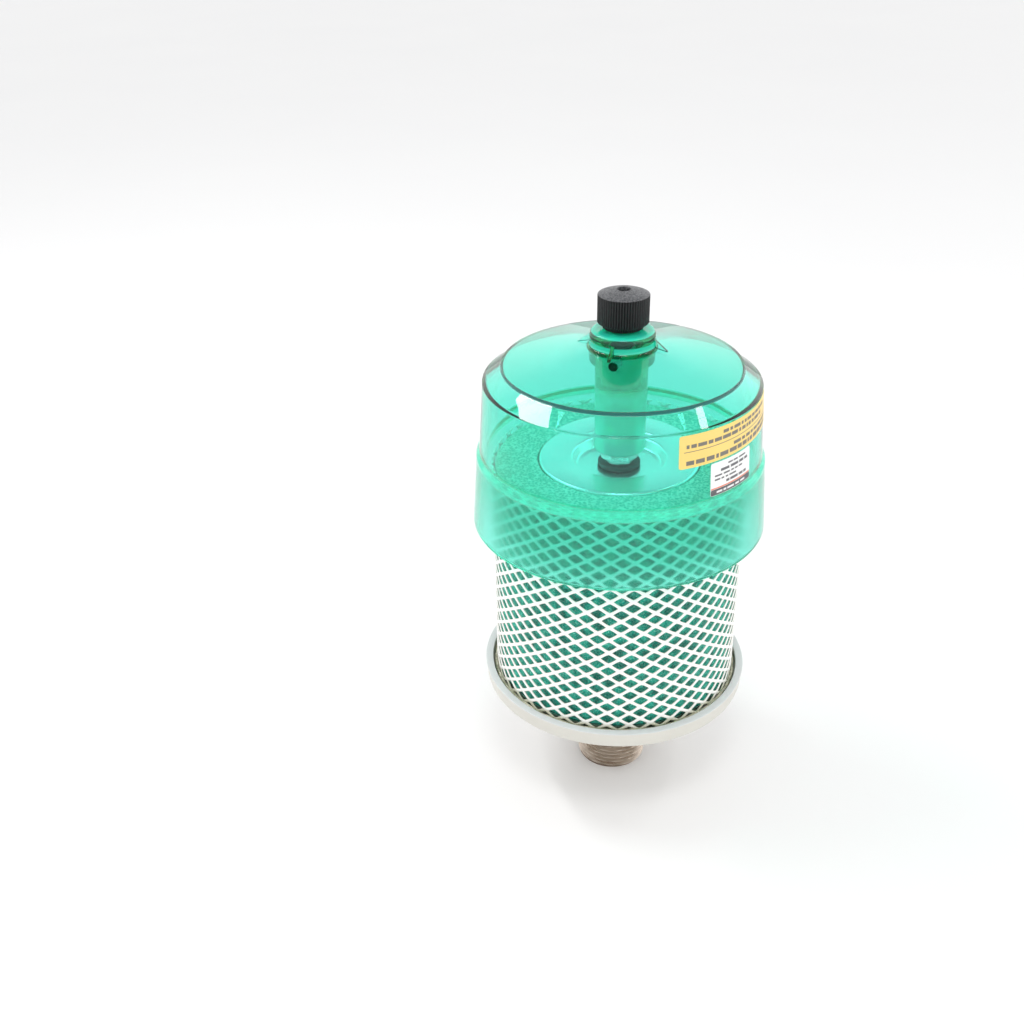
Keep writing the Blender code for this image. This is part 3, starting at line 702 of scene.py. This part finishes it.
def make_base():
    """Cast dish with a machined rim, a ring-shaped recess below and a fillet inside."""
    foot_z, rim_z, rim_r = extent("base_plate")
    floor_z = foot_z + 3.0 * MM
    wall_r = 58.2 * MM
    recess_z = foot_z + 0.8 * MM
    recess_outer_r = 51 * MM
    recess_inner_r = 30 * MM
    draft = 1 * MM
    hole_r = 18.3 * MM
    outline = [
        (rim_r, rim_z, 0.35), (rim_r - 0.8 * MM, foot_z, 1.4),
        (recess_outer_r + draft, foot_z, 0.5), (recess_outer_r, recess_z, 0.4),
        (recess_inner_r, recess_z, 0.4), (recess_inner_r - draft, foot_z, 0.5),
        (hole_r, foot_z, 0.4), (hole_r, floor_z, 0.3),
        (wall_r, floor_z, 1.0), (wall_r, rim_z, 0.3),
    ]
    turn_piece("base_dish", rounded(outline), 192, PORT_BODY, "painted_grey", "base_plate")


# ---- element

NET_AROUND = 36
NET_HALF_CELL = pi / NET_AROUND
NET_PHASE = 2.97
NET_HALF_ROW = 6.53 * MM / 2
NET_FIRST_ROW_Z = 60.5 * MM
NET_OPENING = 0.72


def net_cell(bm, wall, sections, centre, centre_z):
    """Rounded opening in strands of rounded section. sections are (share of the cell, radius)."""
    corners = [(1, 0), (0, 1), (-1, 0), (0, -1)]
    per_side = 3
    corner_pull = 0.93
    pulled_below = 0.8
    loops = []
    for scale, radius in sections:
        loop = []
        for side in range(4):
            first = corners[side]
            second = corners[(side + 1) % 4]
            for step in range(per_side):
                part = step / per_side
                pull = scale * (corner_pull if step == 0 and scale < pulled_below else 1.0)
                across = (first[0] * (1 - part) + second[0] * part) * pull
                up = (first[1] * (1 - part) + second[1] * part) * pull
                angle = centre + across * NET_HALF_CELL
                z = centre_z + up * NET_HALF_ROW
                vert = bm.verts.new((radius * cos(angle), radius * sin(angle), z))
                vert[wall] = 1.0 if scale == NET_OPENING else 0.0
                loop.append(vert)
        loops.append(loop)
    for near, far in zip(loops, loops[1:]):
        bridge(bm, near, far)


def make_net():
    """Diamond net, its cut walls marked for their colour, which is partly painted shade."""
    bottom, top, outer = extent("mesh_sleeve")
    inner = outer - 0.85 * MM
    shoulder = NET_OPENING + 0.06
    crown = (1.0 + shoulder) / 2
    crown_drop = 0.03 * MM
    shoulder_drop = 0.16 * MM
    sections = [
        (1.0, outer), (crown, outer - crown_drop), (shoulder, outer - shoulder_drop),
        (NET_OPENING, (outer + inner) / 2),
        (shoulder, inner + shoulder_drop), (crown, inner + crown_drop), (1.0, inner),
    ]
    bm = bmesh.new()
    wall = bm.verts.layers.float.new("wall")
    rows_below = int((NET_FIRST_ROW_Z - bottom) / NET_HALF_ROW) + 2
    rows = int((top - NET_FIRST_ROW_Z) / NET_HALF_ROW) + 2
    for row in range(-rows_below, rows + 1):
        for column in range(2 * NET_AROUND):
            if (row + column) % 2 == 0:
                centre = radians(NET_PHASE) - pi / 2 + column * NET_HALF_CELL
                net_cell(bm, wall, sections, centre, NET_FIRST_ROW_Z + row * NET_HALF_ROW)
    bmesh.ops.remove_doubles(bm, verts=bm.verts, dist=1e-6)
    for height, normal in ((bottom, (0, 0, -1)), (top, (0, 0, 1))):
        geometry = bm.verts[:] + bm.edges[:] + bm.faces[:]
        bmesh.ops.bisect_plane(bm, geom=geometry, dist=1e-7, plane_co=(0, 0, height),
                               plane_no=normal, clear_outer=True)
    bmesh.ops.holes_fill(bm, edges=[edge for edge in bm.edges if edge.is_boundary], sides=0)
    place(finished("diamond_net", bm, MATERIALS["white_net"], 60), PORT_BODY, "white_net", "mesh_sleeve")


def make_foam():
    """Foam sleeve with a lumpy outer wall."""
    bottom, top, outer = extent("foam_media")
    inner = 34.3 * MM
    rows = 150
    lump_size = 3.2 * MM
    lump_depth = 0.5 * MM
    sunk = 0.55 * MM
    wall = [(outer, top - (top - bottom) * row / rows) for row in range(rows + 1)]

    def lumps(index, angle, radius, height):
        if index > rows:
            return radius, height
        spot = Vector((radius * cos(angle), radius * sin(angle), height)) / lump_size
        deep = noise.fractal(spot, 0.9, 2.1, 4)
        return radius - sunk + lump_depth * clamped(deep, -1.0), height

    points = wall + [(inner, bottom), (inner, top)]
    turn_piece("foam_sleeve", points, 320, PORT_BODY, "green_media", "foam_media", lumps, 180)


def make_end_pad():
    """Granular ring that closes the top of the foam."""
    bottom, top, outer = extent("top_end_pad")
    inner = 35.9 * MM
    steps = 46
    grain_size = 1.3 * MM
    grain_height = 0.32 * MM
    sunk = 0.4 * MM
    edge_width = 1.2 * MM
    edge_drop = 0.5 * MM
    face = [(inner + (outer - inner) * step / steps, top) for step in range(steps + 1)]

    def grains(index, angle, radius, height):
        if index > steps:
            return radius, height
        spot = Vector((radius * cos(angle), radius * sin(angle), 0)) / grain_size
        rise = grain_height * noise.fractal(spot, 0.8, 2.2, 4) - sunk
        inside = min(1.0, (outer - radius) / edge_width)
        return radius, height + rise - edge_drop * (1 - inside)

    points = face + [(outer, bottom), (inner, bottom)]
    turn_piece("end_pad_granular", points, 420, PORT_BODY, "end_pad", "top_end_pad", grains, 180)


def make_cap():
    """Pressed cap: rolled lip, flat ring and a dished middle with a soft step."""
    _, top, lip_r = extent("element_top_cap")
    sheet = 1.5 * MM
    lip_z = top - 3.2 * MM
    lip_inner_r = lip_r - 1.2 * MM
    dish_r = 20.5 * MM
    floor_z = top - 4.2 * MM
    hole_r = 4.4 * MM
    outline = [
        (lip_r, top, 1.5), (lip_r, lip_z, 0.4), (lip_inner_r, lip_z, 0.4),
        (lip_inner_r, top - sheet, 0.6), (dish_r + 1.0 * MM, top - sheet, 0.6),
        (dish_r - 1.6 * MM, floor_z - sheet, 1.4), (hole_r, floor_z - sheet, 0.2),
        (hole_r, floor_z, 0.2), (dish_r - 1.9 * MM, floor_z, 1.6),
        (dish_r + 0.2 * MM, top, 1.6),
    ]
    turn_piece("cap_plate", rounded(outline, 6), 192, PORT_BODY, "bright_steel", "element_top_cap",
               sharp=60, mat=MATERIALS["cap_steel"])


def make_cap_nut():
    """Hexagon nut with the curved chamfers of its corners."""
    bottom, top, _ = extent("cap_nut")
    flat_r = 7.0 * MM
    corner_deg = -25.6
    corner_r = flat_r / cos(pi / 6)
    face_r = flat_r * 0.96
    bore_r = 4.25 * MM
    countersink = 0.6 * MM
    bevel = 0.55 * MM
    curve = 0.5 * MM
    chamfer_points = {0, 3}
    flat_points = {1, 2}
    outline = [
        (face_r, top), (corner_r, top - bevel), (corner_r, bottom + bevel), (face_r, bottom),
        (bore_r + countersink, bottom), (bore_r, bottom + countersink),
        (bore_r, top - countersink), (bore_r + countersink, top),
    ]

    def shape(index, angle, radius, height):
        if index in chamfer_points:
            return face_r, height
        if index in flat_points:
            reach = hexagon_radius(flat_r, angle, corner_deg)
            drop = curve * (reach - flat_r) / (corner_r - flat_r)
            return reach, height - drop if index == 1 else height + drop
        return radius, height

    turn_piece("cap_hex_nut", outline, 144, PORT_BODY, "bright_steel", "cap_nut", shape, 25)


def make_ring(name, node, bore_r, fillet, slot, body):
    """Plain black ring: a washer or a bush."""
    bottom, top, outer = extent(node)
    outline = [(outer, top, fillet), (outer, bottom, fillet),
               (bore_r, bottom, 0.2), (bore_r, top, 0.2)]
    turn_piece(name, rounded(outline), 96, body, slot, node)


def make_rod():
    """Tie rod with its rolled M8 thread at the top and at the foot."""
    bottom, top, radius = extent("tie_rod")
    pitch = 1.25 * MM
    depth = 0.7 * MM
    plain_from_z = bottom + 14 * MM
    plain_to_z = high_z("element_top_cap") - 6 * MM
    plain_drop = 0.15 * MM
    tip_length = 1 * MM
    tip_drop = 0.9 * MM
    steps = 560
    side = [(radius, top - (top - bottom) * step / steps) for step in range(steps + 1)]
    nearly_none = 0.05 * MM

    def shape(index, angle, r, height):
        if index > steps:
            return r, height
        if plain_from_z < height < plain_to_z:
            return r - plain_drop, height
        ridge = abs(2 * ((height / pitch - angle / tau) % 1.0) - 1)
        full = min(1.0, (top - height) / tip_length, (height - bottom) / tip_length)
        return r - depth * ridge - tip_drop * (1 - full), height

    points = side + [(nearly_none, bottom), (nearly_none, top)]
    turn_piece("threaded_tie_rod", points, 32, PORT_BODY, "bright_steel", "tie_rod", shape, 50)


def make_bead():
    """Uneven bead of glue where the net meets the dish."""
    bottom, top, outer = extent("resin_bead")
    inner = reach_of("mesh_sleeve") + 0.1 * MM
    lumps_around = 9
    lump_height = 3 * MM
    lift_most = 0.6 * MM
    swell_most = 0.35 * MM
    ceiling = top + 0.8 * MM
    outline = rounded([(outer - 0.3 * MM, top - 0.3 * MM, 0.6), (outer, bottom, 0.6),
                       (inner, bottom, 0.1), (inner, top, 0.1)], 5)

    def uneven(index, angle, radius, height):
        spot = Vector((cos(angle) * lumps_around, sin(angle) * lumps_around, height / lump_height))
        swell = noise.fractal(spot, 0.9, 2.2, 3)
        lift = lift_most * swell * (height - bottom) / (top - bottom)
        out = max(inner, radius + swell_most * swell) if radius > inner + 0.05 * MM else radius
        return out, min(height + lift, ceiling)

    turn_piece("glue_bead", outline, 300, PORT_BODY, "amber_resin", "resin_bead", uneven, 60)


# ---- case

CORE_GAP_R = 0.05 * MM


def case_outline():
    """Closed section of the moulding, both bores included."""
    bottom, top, skirt_r = extent("drain_case")
    column_z = low_z("column_guide_washer") - 0.2 * MM
    bore_r = 7.5 * MM
    bore_top_z = 195.0 * MM
    cock_bottom_z = low_z("valve_seat") - 0.3 * MM
    seat_z = low_z("valve_bush") - 0.5 * MM
    under_edge_z = DISC_EDGE_Z - WALL
    under_boss_z = under_edge_z + DISC_CENTRE_Z - DISC_EDGE_Z
    return [
        (BOSS_R, top, 2.2), (BOSS_R, DISC_CENTRE_Z, 1.6),
        (DISC_EDGE_R, DISC_EDGE_Z, 0.2), (DISC_EDGE_R, DISC_EDGE_Z - DISC_EDGE_RISE, 0.15),
        (SHOULDER_R, SHOULDER_Z, 0.7), (STEP_R, STEP_Z, 0.5),
        (SKIRT_TOP_R, STEP_Z - SKIRT_TOP_DROP, 0.8),
        (skirt_r, bottom, 0.5), (skirt_r - WALL, bottom, 0.5),
        (SKIRT_TOP_R - WALL, STEP_Z - WALL - SKIRT_TOP_DROP, 0.8),
        (STEP_R - WALL, STEP_Z - WALL, 0.6),
        (SHOULDER_R - WALL, SHOULDER_Z - 0.8 * MM, 1.0),
        (DISC_EDGE_R - 1.2 * MM, under_edge_z, 1.0), (BOSS_R, under_boss_z, 0.8),
        (BOSS_R, BOSS_BOTTOM_Z, 1.2), (COLUMN_R, BOSS_BOTTOM_Z, 0.5),
        (COLUMN_R, column_z, 0.8), (bore_r, column_z, 0.4), (bore_r, bore_top_z, 0.6),
        (CORE_GAP_R, bore_top_z), (CORE_GAP_R, cock_bottom_z), (COCK_BORE_R, cock_bottom_z, 3.2),
        (COCK_BORE_R, seat_z, 0.1), (BUSH_SEAT_R, seat_z, 0.2), (BUSH_SEAT_R, top, 0.5),
    ]


def close_core(bm):
    """Close the hair-thin gap on the axis between the two bores."""
    def on_axis(vert):
        return hypot(vert.co.x, vert.co.y) < CORE_GAP_R + 0.01 * MM

    levels = sorted({round(vert.co.z, 6) for vert in bm.verts if on_axis(vert)})
    for edge in [edge for edge in bm.edges if all(on_axis(vert) for vert in edge.verts)]:
        if abs(edge.verts[0].co.z - edge.verts[1].co.z) > MM:
            bm.edges.remove(edge)
    for level in levels:
        ring = [vert for vert in bm.verts if on_axis(vert) and abs(vert.co.z - level) < 1e-5]
        bmesh.ops.pointmerge(bm, verts=ring, merge_co=(0, 0, level))


def add_gussets(case):
    """Four thin triangular ribs between the boss and the disc."""
    first_deg = -16.4
    tip_r = 19.5 * MM
    thickness = 1.3 * MM
    up = Vector((0, 0, 1))
    bm = bmesh.new()
    for turn in range(4):
        outwards = from_front(first_deg + 90 * turn)
        root = outwards * (BOSS_R - 0.8 * MM)
        tip = outwards * tip_r
        corners = [root + up * (DISC_CENTRE_Z - 2.0 * MM), tip + up * (DISC_CENTRE_Z - 2.5 * MM),
                   tip + up * (DISC_CENTRE_Z - 1.15 * MM), root + up * (DISC_CENTRE_Z + 4.2 * MM)]
        plate(bm, corners, thickness, outwards.cross(up))
    combine(case, plain_object("gussets", bm), "UNION")


def drill_drain(case):
    """Hole through the boss's wall into the cock bore."""
    drill_middle_r = 11.3 * MM
    drill_length = 9.5 * MM
    outwards = from_front(DRAIN_HOLE_AZIMUTH)
    turn = outwards.to_track_quat("Z", "Y").to_matrix().to_4x4()
    middle = outwards * drill_middle_r + Vector((0, 0, DRAIN_HOLE_Z))
    bm = bmesh.new()
    bmesh.ops.create_cone(bm, cap_ends=True, segments=40, radius1=DRAIN_HOLE_R, radius2=DRAIN_HOLE_R,
                          depth=drill_length, matrix=Matrix.Translation(middle) @ turn)
    combine(case, plain_object("drill", bm), "DIFFERENCE")


def make_case():
    bm = bmesh.new()
    lathe(bm, rounded(case_outline(), 5), 192)
    close_core(bm)
    case = finished("clear_case", bm, MATERIALS["clear_green"])
    add_gussets(case)
    drill_drain(case)
    case.data.shade_smooth()
    case.data.set_sharp_from_angle(angle=radians(38))
    case.modifiers.new("even_faces", "WEIGHTED_NORMAL").keep_sharp = True
    place(case, CASE_BODY, "clear_green", "drain_case")


FILM = 0.12 * MM
FILM_LIFT = 0.02 * MM
PRINT = 0.02 * MM
PRINT_LIFT = FILM_LIFT + FILM + 0.004 * MM


def case_radius(height):
    along = (height - STEP_Z) / (SHOULDER_Z - STEP_Z)
    return STEP_R + (SHOULDER_R - STEP_R) * along


def patch(bm, from_deg, to_deg, bottom, top, lift, thick, corner=0.0):
    """Thin closed sheet on the upper case, with round corners."""
    corner_steps = 5
    facet_deg = 2.5
    width = radians(to_deg - from_deg) * case_radius((bottom + top) / 2)
    rounding = []
    if corner:
        rounding = [corner * (1 - cos(pi / 2 * step / corner_steps)) for step in range(corner_steps)]
    spread = max(2, int((to_deg - from_deg) / facet_deg))
    middle = [corner + (width - 2 * corner) * step / spread for step in range(spread + 1)]
    sections = []
    for along in rounding + middle + [width - part for part in reversed(rounding)]:
        near_end = min(along, width - along)
        inset = 0.0
        if corner and near_end < corner:
            inset = corner - sqrt(max(0.0, corner ** 2 - (corner - near_end) ** 2))
        out = from_front(from_deg + (to_deg - from_deg) * along / width)
        section = []
        for height, rise in ((bottom + inset, lift), (bottom + inset, lift + thick),
                             (top - inset, lift + thick), (top - inset, lift)):
            section.append(bm.verts.new(out * (case_radius(height) + rise) + Vector((0, 0, height))))
        sections.append(section)
    for near, far in zip(sections, sections[1:]):
        bridge(bm, near, far)
    bm.faces.new(sections[0])
    bm.faces.new(list(reversed(sections[-1])))


def text_row(bm, chooser, from_deg, to_deg, bottom, top, lift):
    """A row of bars of uneven length, as generic print."""
    least_left = 0.8
    at = from_deg
    while at < to_deg - least_left:
        stop = min(to_deg, at + chooser.uniform(1.2, 4.6))
        patch(bm, at, stop, bottom, top, lift, PRINT)
        at = stop + chooser.uniform(0.5, 0.9)


def make_film(name, label, corner):
    """Sheet of a label, as high as its CAD node."""
    node, from_deg, to_deg, slot = label
    bm = bmesh.new()
    patch(bm, from_deg, to_deg, low_z(node), high_z(node), FILM_LIFT, FILM, corner)
    place(finished(name, bm, MATERIALS[slot], 60), CASE_BODY, slot, node)


def make_print(name, label, mat, chooser, rows=(), bars=(), corner=0.0, lift=PRINT_LIFT):
    """Rows of short bars and plain bars on a label. Each is (bottom, top, left, right), with heights
    as shares of the label's height and margins in degrees."""
    node, from_deg, to_deg, slot = label
    low = low_z(node)
    tall = high_z(node) - low
    bm = bmesh.new()
    for bottom, top, left, right in rows:
        text_row(bm, chooser, from_deg + left, to_deg - right, low + bottom * tall, low + top * tall, lift)
    for bottom, top, left, right in bars:
        patch(bm, from_deg + left, to_deg - right, low + bottom * tall, low + top * tall,
              lift, PRINT, corner)
    place(finished(name, bm, mat, 60), CASE_BODY, slot)


def make_labels():
    chooser = random.Random(5)
    caution = ("caution_label", 22.5, 84.0, "label_yellow")
    make_film("caution_film", caution, 1.0 * MM)
    make_print("caution_print", caution, ink("print_grey", (0.17, 0.16, 0.13)), chooser,
               rows=((0.09, 0.22, 3, 4), (0.29, 0.39, 26, 3), (0.60, 0.71, 3, 12), (0.78, 0.88, 20, 8)),
               bars=((0.485, 0.505, 2, 3),))
    rating = ("rating_label", 36.5, 60.0, "label_white")
    make_film("rating_film", rating, 0.8 * MM)
    make_print("rating_strip", rating, ink("strip_grey", (0.09, 0.09, 0.095)), chooser,
               bars=((0.01, 0.19, 0.1, 0.1),), corner=0.7 * MM)
    make_print("rating_line", rating, ink("line_orange", (0.75, 0.14, 0.05)), chooser,
               bars=((0.20, 0.235, 0.2, 0.2),))
    make_print("rating_print", rating, ink("print_dark", (0.12, 0.12, 0.13)), chooser,
               rows=((0.30, 0.38, 8, 3), (0.45, 0.50, 2, 9), (0.57, 0.62, 2, 5), (0.69, 0.77, 5, 2),
                     (0.84, 0.89, 9, 3)))
    make_print("rating_strip_print", rating, ink("print_pale", (0.8, 0.8, 0.8)), chooser,
               rows=((0.065, 0.125, 3, 4),), lift=PRINT_LIFT + 0.03 * MM)


# ---- drain cock

def make_plunger():
    """Hollow drain plunger with a seal groove and a necked head."""
    bottom, top, flange_r = extent("drain_plunger")
    body_r = 3.6 * MM
    bore_r = 1.1 * MM
    neck_r = 1.8 * MM
    head_r = 2.7 * MM
    head_z = 222.0 * MM
    groove_r = 3.4 * MM
    groove_low_z = 214.9 * MM
    groove_top_z = 216.9 * MM
    flange = 0.7 * MM
    outline = [
        (head_r, top - 0.7 * MM, 0.2), (head_r, head_z, 0.1),
        (neck_r, head_z, 0.1), (neck_r, groove_top_z + flange, 0.2),
        (flange_r, groove_top_z + flange, 0.2), (flange_r, groove_top_z, 0.1),
        (groove_r, groove_top_z, 0.2), (groove_r, groove_low_z, 0.2),
        (flange_r, groove_low_z, 0.1), (flange_r, groove_low_z - flange, 0.2),
        (body_r, groove_low_z - 1.3 * MM, 0.3), (body_r, bottom, 0.3),
        (bore_r, bottom, 0.2), (bore_r, top, 0.2), (neck_r, top, 0.2),
    ]
    turn_piece("drain_spindle", rounded(outline), 96, PLUNGER_BODY, "clear_green", "drain_plunger")


def make_knob():
    """Knurled knob: rounded ribs, a small collar below and a domed top with the outlet."""
    bottom, top, grip_r = extent("drain_knob")
    rim_z = top - 2.2 * MM
    collar_z = top - 16.3 * MM
    collar_r = 8.6 * MM
    grip_low = collar_z + 2.4 * MM
    hole_r = 2.8 * MM
    shank_r = 4.3 * MM
    lip_r = 2.2 * MM
    lip_z = bottom + 3.8 * MM
    bore_r = 3.1 * MM
    teeth = 60
    facets_per_tooth = 8
    groove = 0.5 * MM
    outline = [
        (hole_r, top, 0.25), (grip_r - 2.0 * MM, rim_z + 0.75 * MM, 1.5),
        (grip_r, rim_z, 0.35), (grip_r, grip_low, 0.15),
        (collar_r, grip_low - 0.9 * MM, 0.2), (collar_r, collar_z, 0.3),
        (shank_r, collar_z, 0.3), (shank_r, bottom, 0.3), (lip_r, bottom, 0.2),
        (lip_r, lip_z, 0.1), (bore_r, lip_z, 0.1),
        (bore_r, top - 6.5 * MM, 0.1), (hole_r, top - 5.5 * MM, 0.1),
    ]

    def ribs(index, angle, radius, height):
        if radius < collar_r - 0.4 * MM or height > rim_z + 0.02 * MM:
            return radius, height
        wave = 0.5 - 0.5 * cos(angle * teeth)
        return radius - groove * wave ** 1.6, height

    turn_piece("knurled_knob", rounded(outline), teeth * facets_per_tooth, KNOB_BODY,
               "black_plastic", "drain_knob", ribs, 50)


def dress_cad_nodes():
    """Give the CAD nodes that stay their procedural finishes."""
    slot_of = {entry["node"]: entry["material_slot"] for entry in frame["record"]["subparts"]}
    for name, node in frame["nodes"].items():
        mat = MATERIALS[slot_of[name]]
        if not node.material_slots:
            node.data.materials.append(mat)
        for slot in node.material_slots:
            slot.material = mat


# ---- stage

def make_floor():
    tones = ((3, 3), (0.865, 0.865, 0.87), (0.89, 0.89, 0.89))
    half = 6.0
    mesh = bpy.data.meshes.new("floor")
    mesh.from_pydata([(-half, -half, 0), (half, -half, 0), (half, half, 0), (-half, half, 0)],
                     [], [(0, 1, 2, 3)])
    mesh.materials.append(plain("floor_white", (0.88, 0.88, 0.88), 0.55, tones))
    linked("floor", mesh)


def area_light(name, azimuth, elevation, size, radiance, roll=0.0):
    """Soft panel seen from the case at an azimuth from the front and an elevation, in degrees."""
    lamp = bpy.data.lights.new(name, "AREA")
    lamp.shape = "RECTANGLE"
    lamp.size, lamp.size_y = size
    lamp.energy = radiance * pi * size[0] * size[1]
    aim = Vector((0, 0, 0.18))
    level = from_front(azimuth) * cos(radians(elevation))
    towards = level + Vector((0, 0, sin(radians(elevation))))
    turn = (-towards).to_track_quat("-Z", "Y").to_matrix() @ Matrix.Rotation(radians(roll), 3, "Z")
    obj = linked(name, lamp)
    obj.location = aim + towards * LIGHT_DISTANCE
    obj.rotation_euler = turn.to_euler()


def make_world():
    """Pale studio, dimmer overhead, with brighter walls behind, right and left."""
    world = bpy.data.worlds.new("studio")
    bpy.context.scene.world = world
    world.use_nodes = True
    sky = Graph(world.node_tree, "Generated")
    x, y, z = sky.axes()
    back = sky.times(sky.span(y, 0.15, 0.7, 0.0, BACK_WALL), sky.span(z, 0.60, 0.42))
    right = sky.times(sky.span(x, 0.25, 0.5, 0.0, RIGHT_WALL), sky.span(z, 0.68, 0.58))
    left = sky.times(sky.span(x, -0.45, -0.85, 0.0, LEFT_WALL), sky.span(z, 0.66, 0.60))
    walls = sky.math("ADD", sky.math("ADD", back, right), left)
    total = sky.math("ADD", walls, sky.span(z, 0.3, 0.95, FRONT_LEVEL, CEILING_LEVEL))
    background = world.node_tree.nodes["Background"]
    background.inputs["Color"].default_value = (1.0, 1.0, 1.0, 1.0)
    sky.link(total, background.inputs["Strength"])


def make_lights():
    """Two strips for the highlights on the case's bevel, and a panel for the front."""
    area_light("left_strip", -105.7, 51.6, size=(0.10, 0.7), radiance=15, roll=-52.5)
    area_light("right_strip", 103.3, 53.2, size=(0.04, 0.6), radiance=12, roll=64.7)
    area_light("front_panel", 4, 62, size=(0.3, 0.25), radiance=9)


def make_camera():
    lens = bpy.data.cameras.new("camera")
    lens.lens = CAMERA_LENS
    lens.sensor_width = 36.0
    lens.clip_start = 0.01
    yaw = Matrix.Rotation(radians(CAMERA_YAW), 4, "Z")
    pitch = Matrix.Rotation(radians(90 - CAMERA_DOWN), 4, "X")
    roll = Matrix.Rotation(radians(CAMERA_ROLL), 4, "Z")
    camera = linked("camera", lens)
    camera.matrix_world = Matrix.Translation(CAMERA_PLACE) @ yaw @ pitch @ roll
    bpy.context.scene.camera = camera


def set_render_depth():
    """Enough bounces for the walls of the bowl that lie behind each other."""
    bpy.context.scene.view_settings.view_transform = "Standard"
    cycles = bpy.context.scene.cycles
    cycles.max_bounces = 24
    cycles.transmission_bounces = 24
    cycles.glossy_bounces = 8
    cycles.diffuse_bounces = 4
    cycles.transparent_max_bounces = 24
    cycles.sample_clamp_indirect = 6.0


make_camera()
make_world()
make_lights()
make_floor()
set_render_depth()
dress_cad_nodes()
make_port()
make_base()
make_net()
make_foam()
make_end_pad()
make_cap()
make_cap_nut()
make_ring("cap_rubber_washer", "cap_seal_washer", 4.4 * MM, 0.5, "black_rubber", PORT_BODY)
make_rod()
make_bead()
make_case()
make_labels()
make_ring("threaded_bush", "valve_bush", 4.6 * MM, 0.3, "black_plastic", CASE_BODY)
make_plunger()
make_knob()
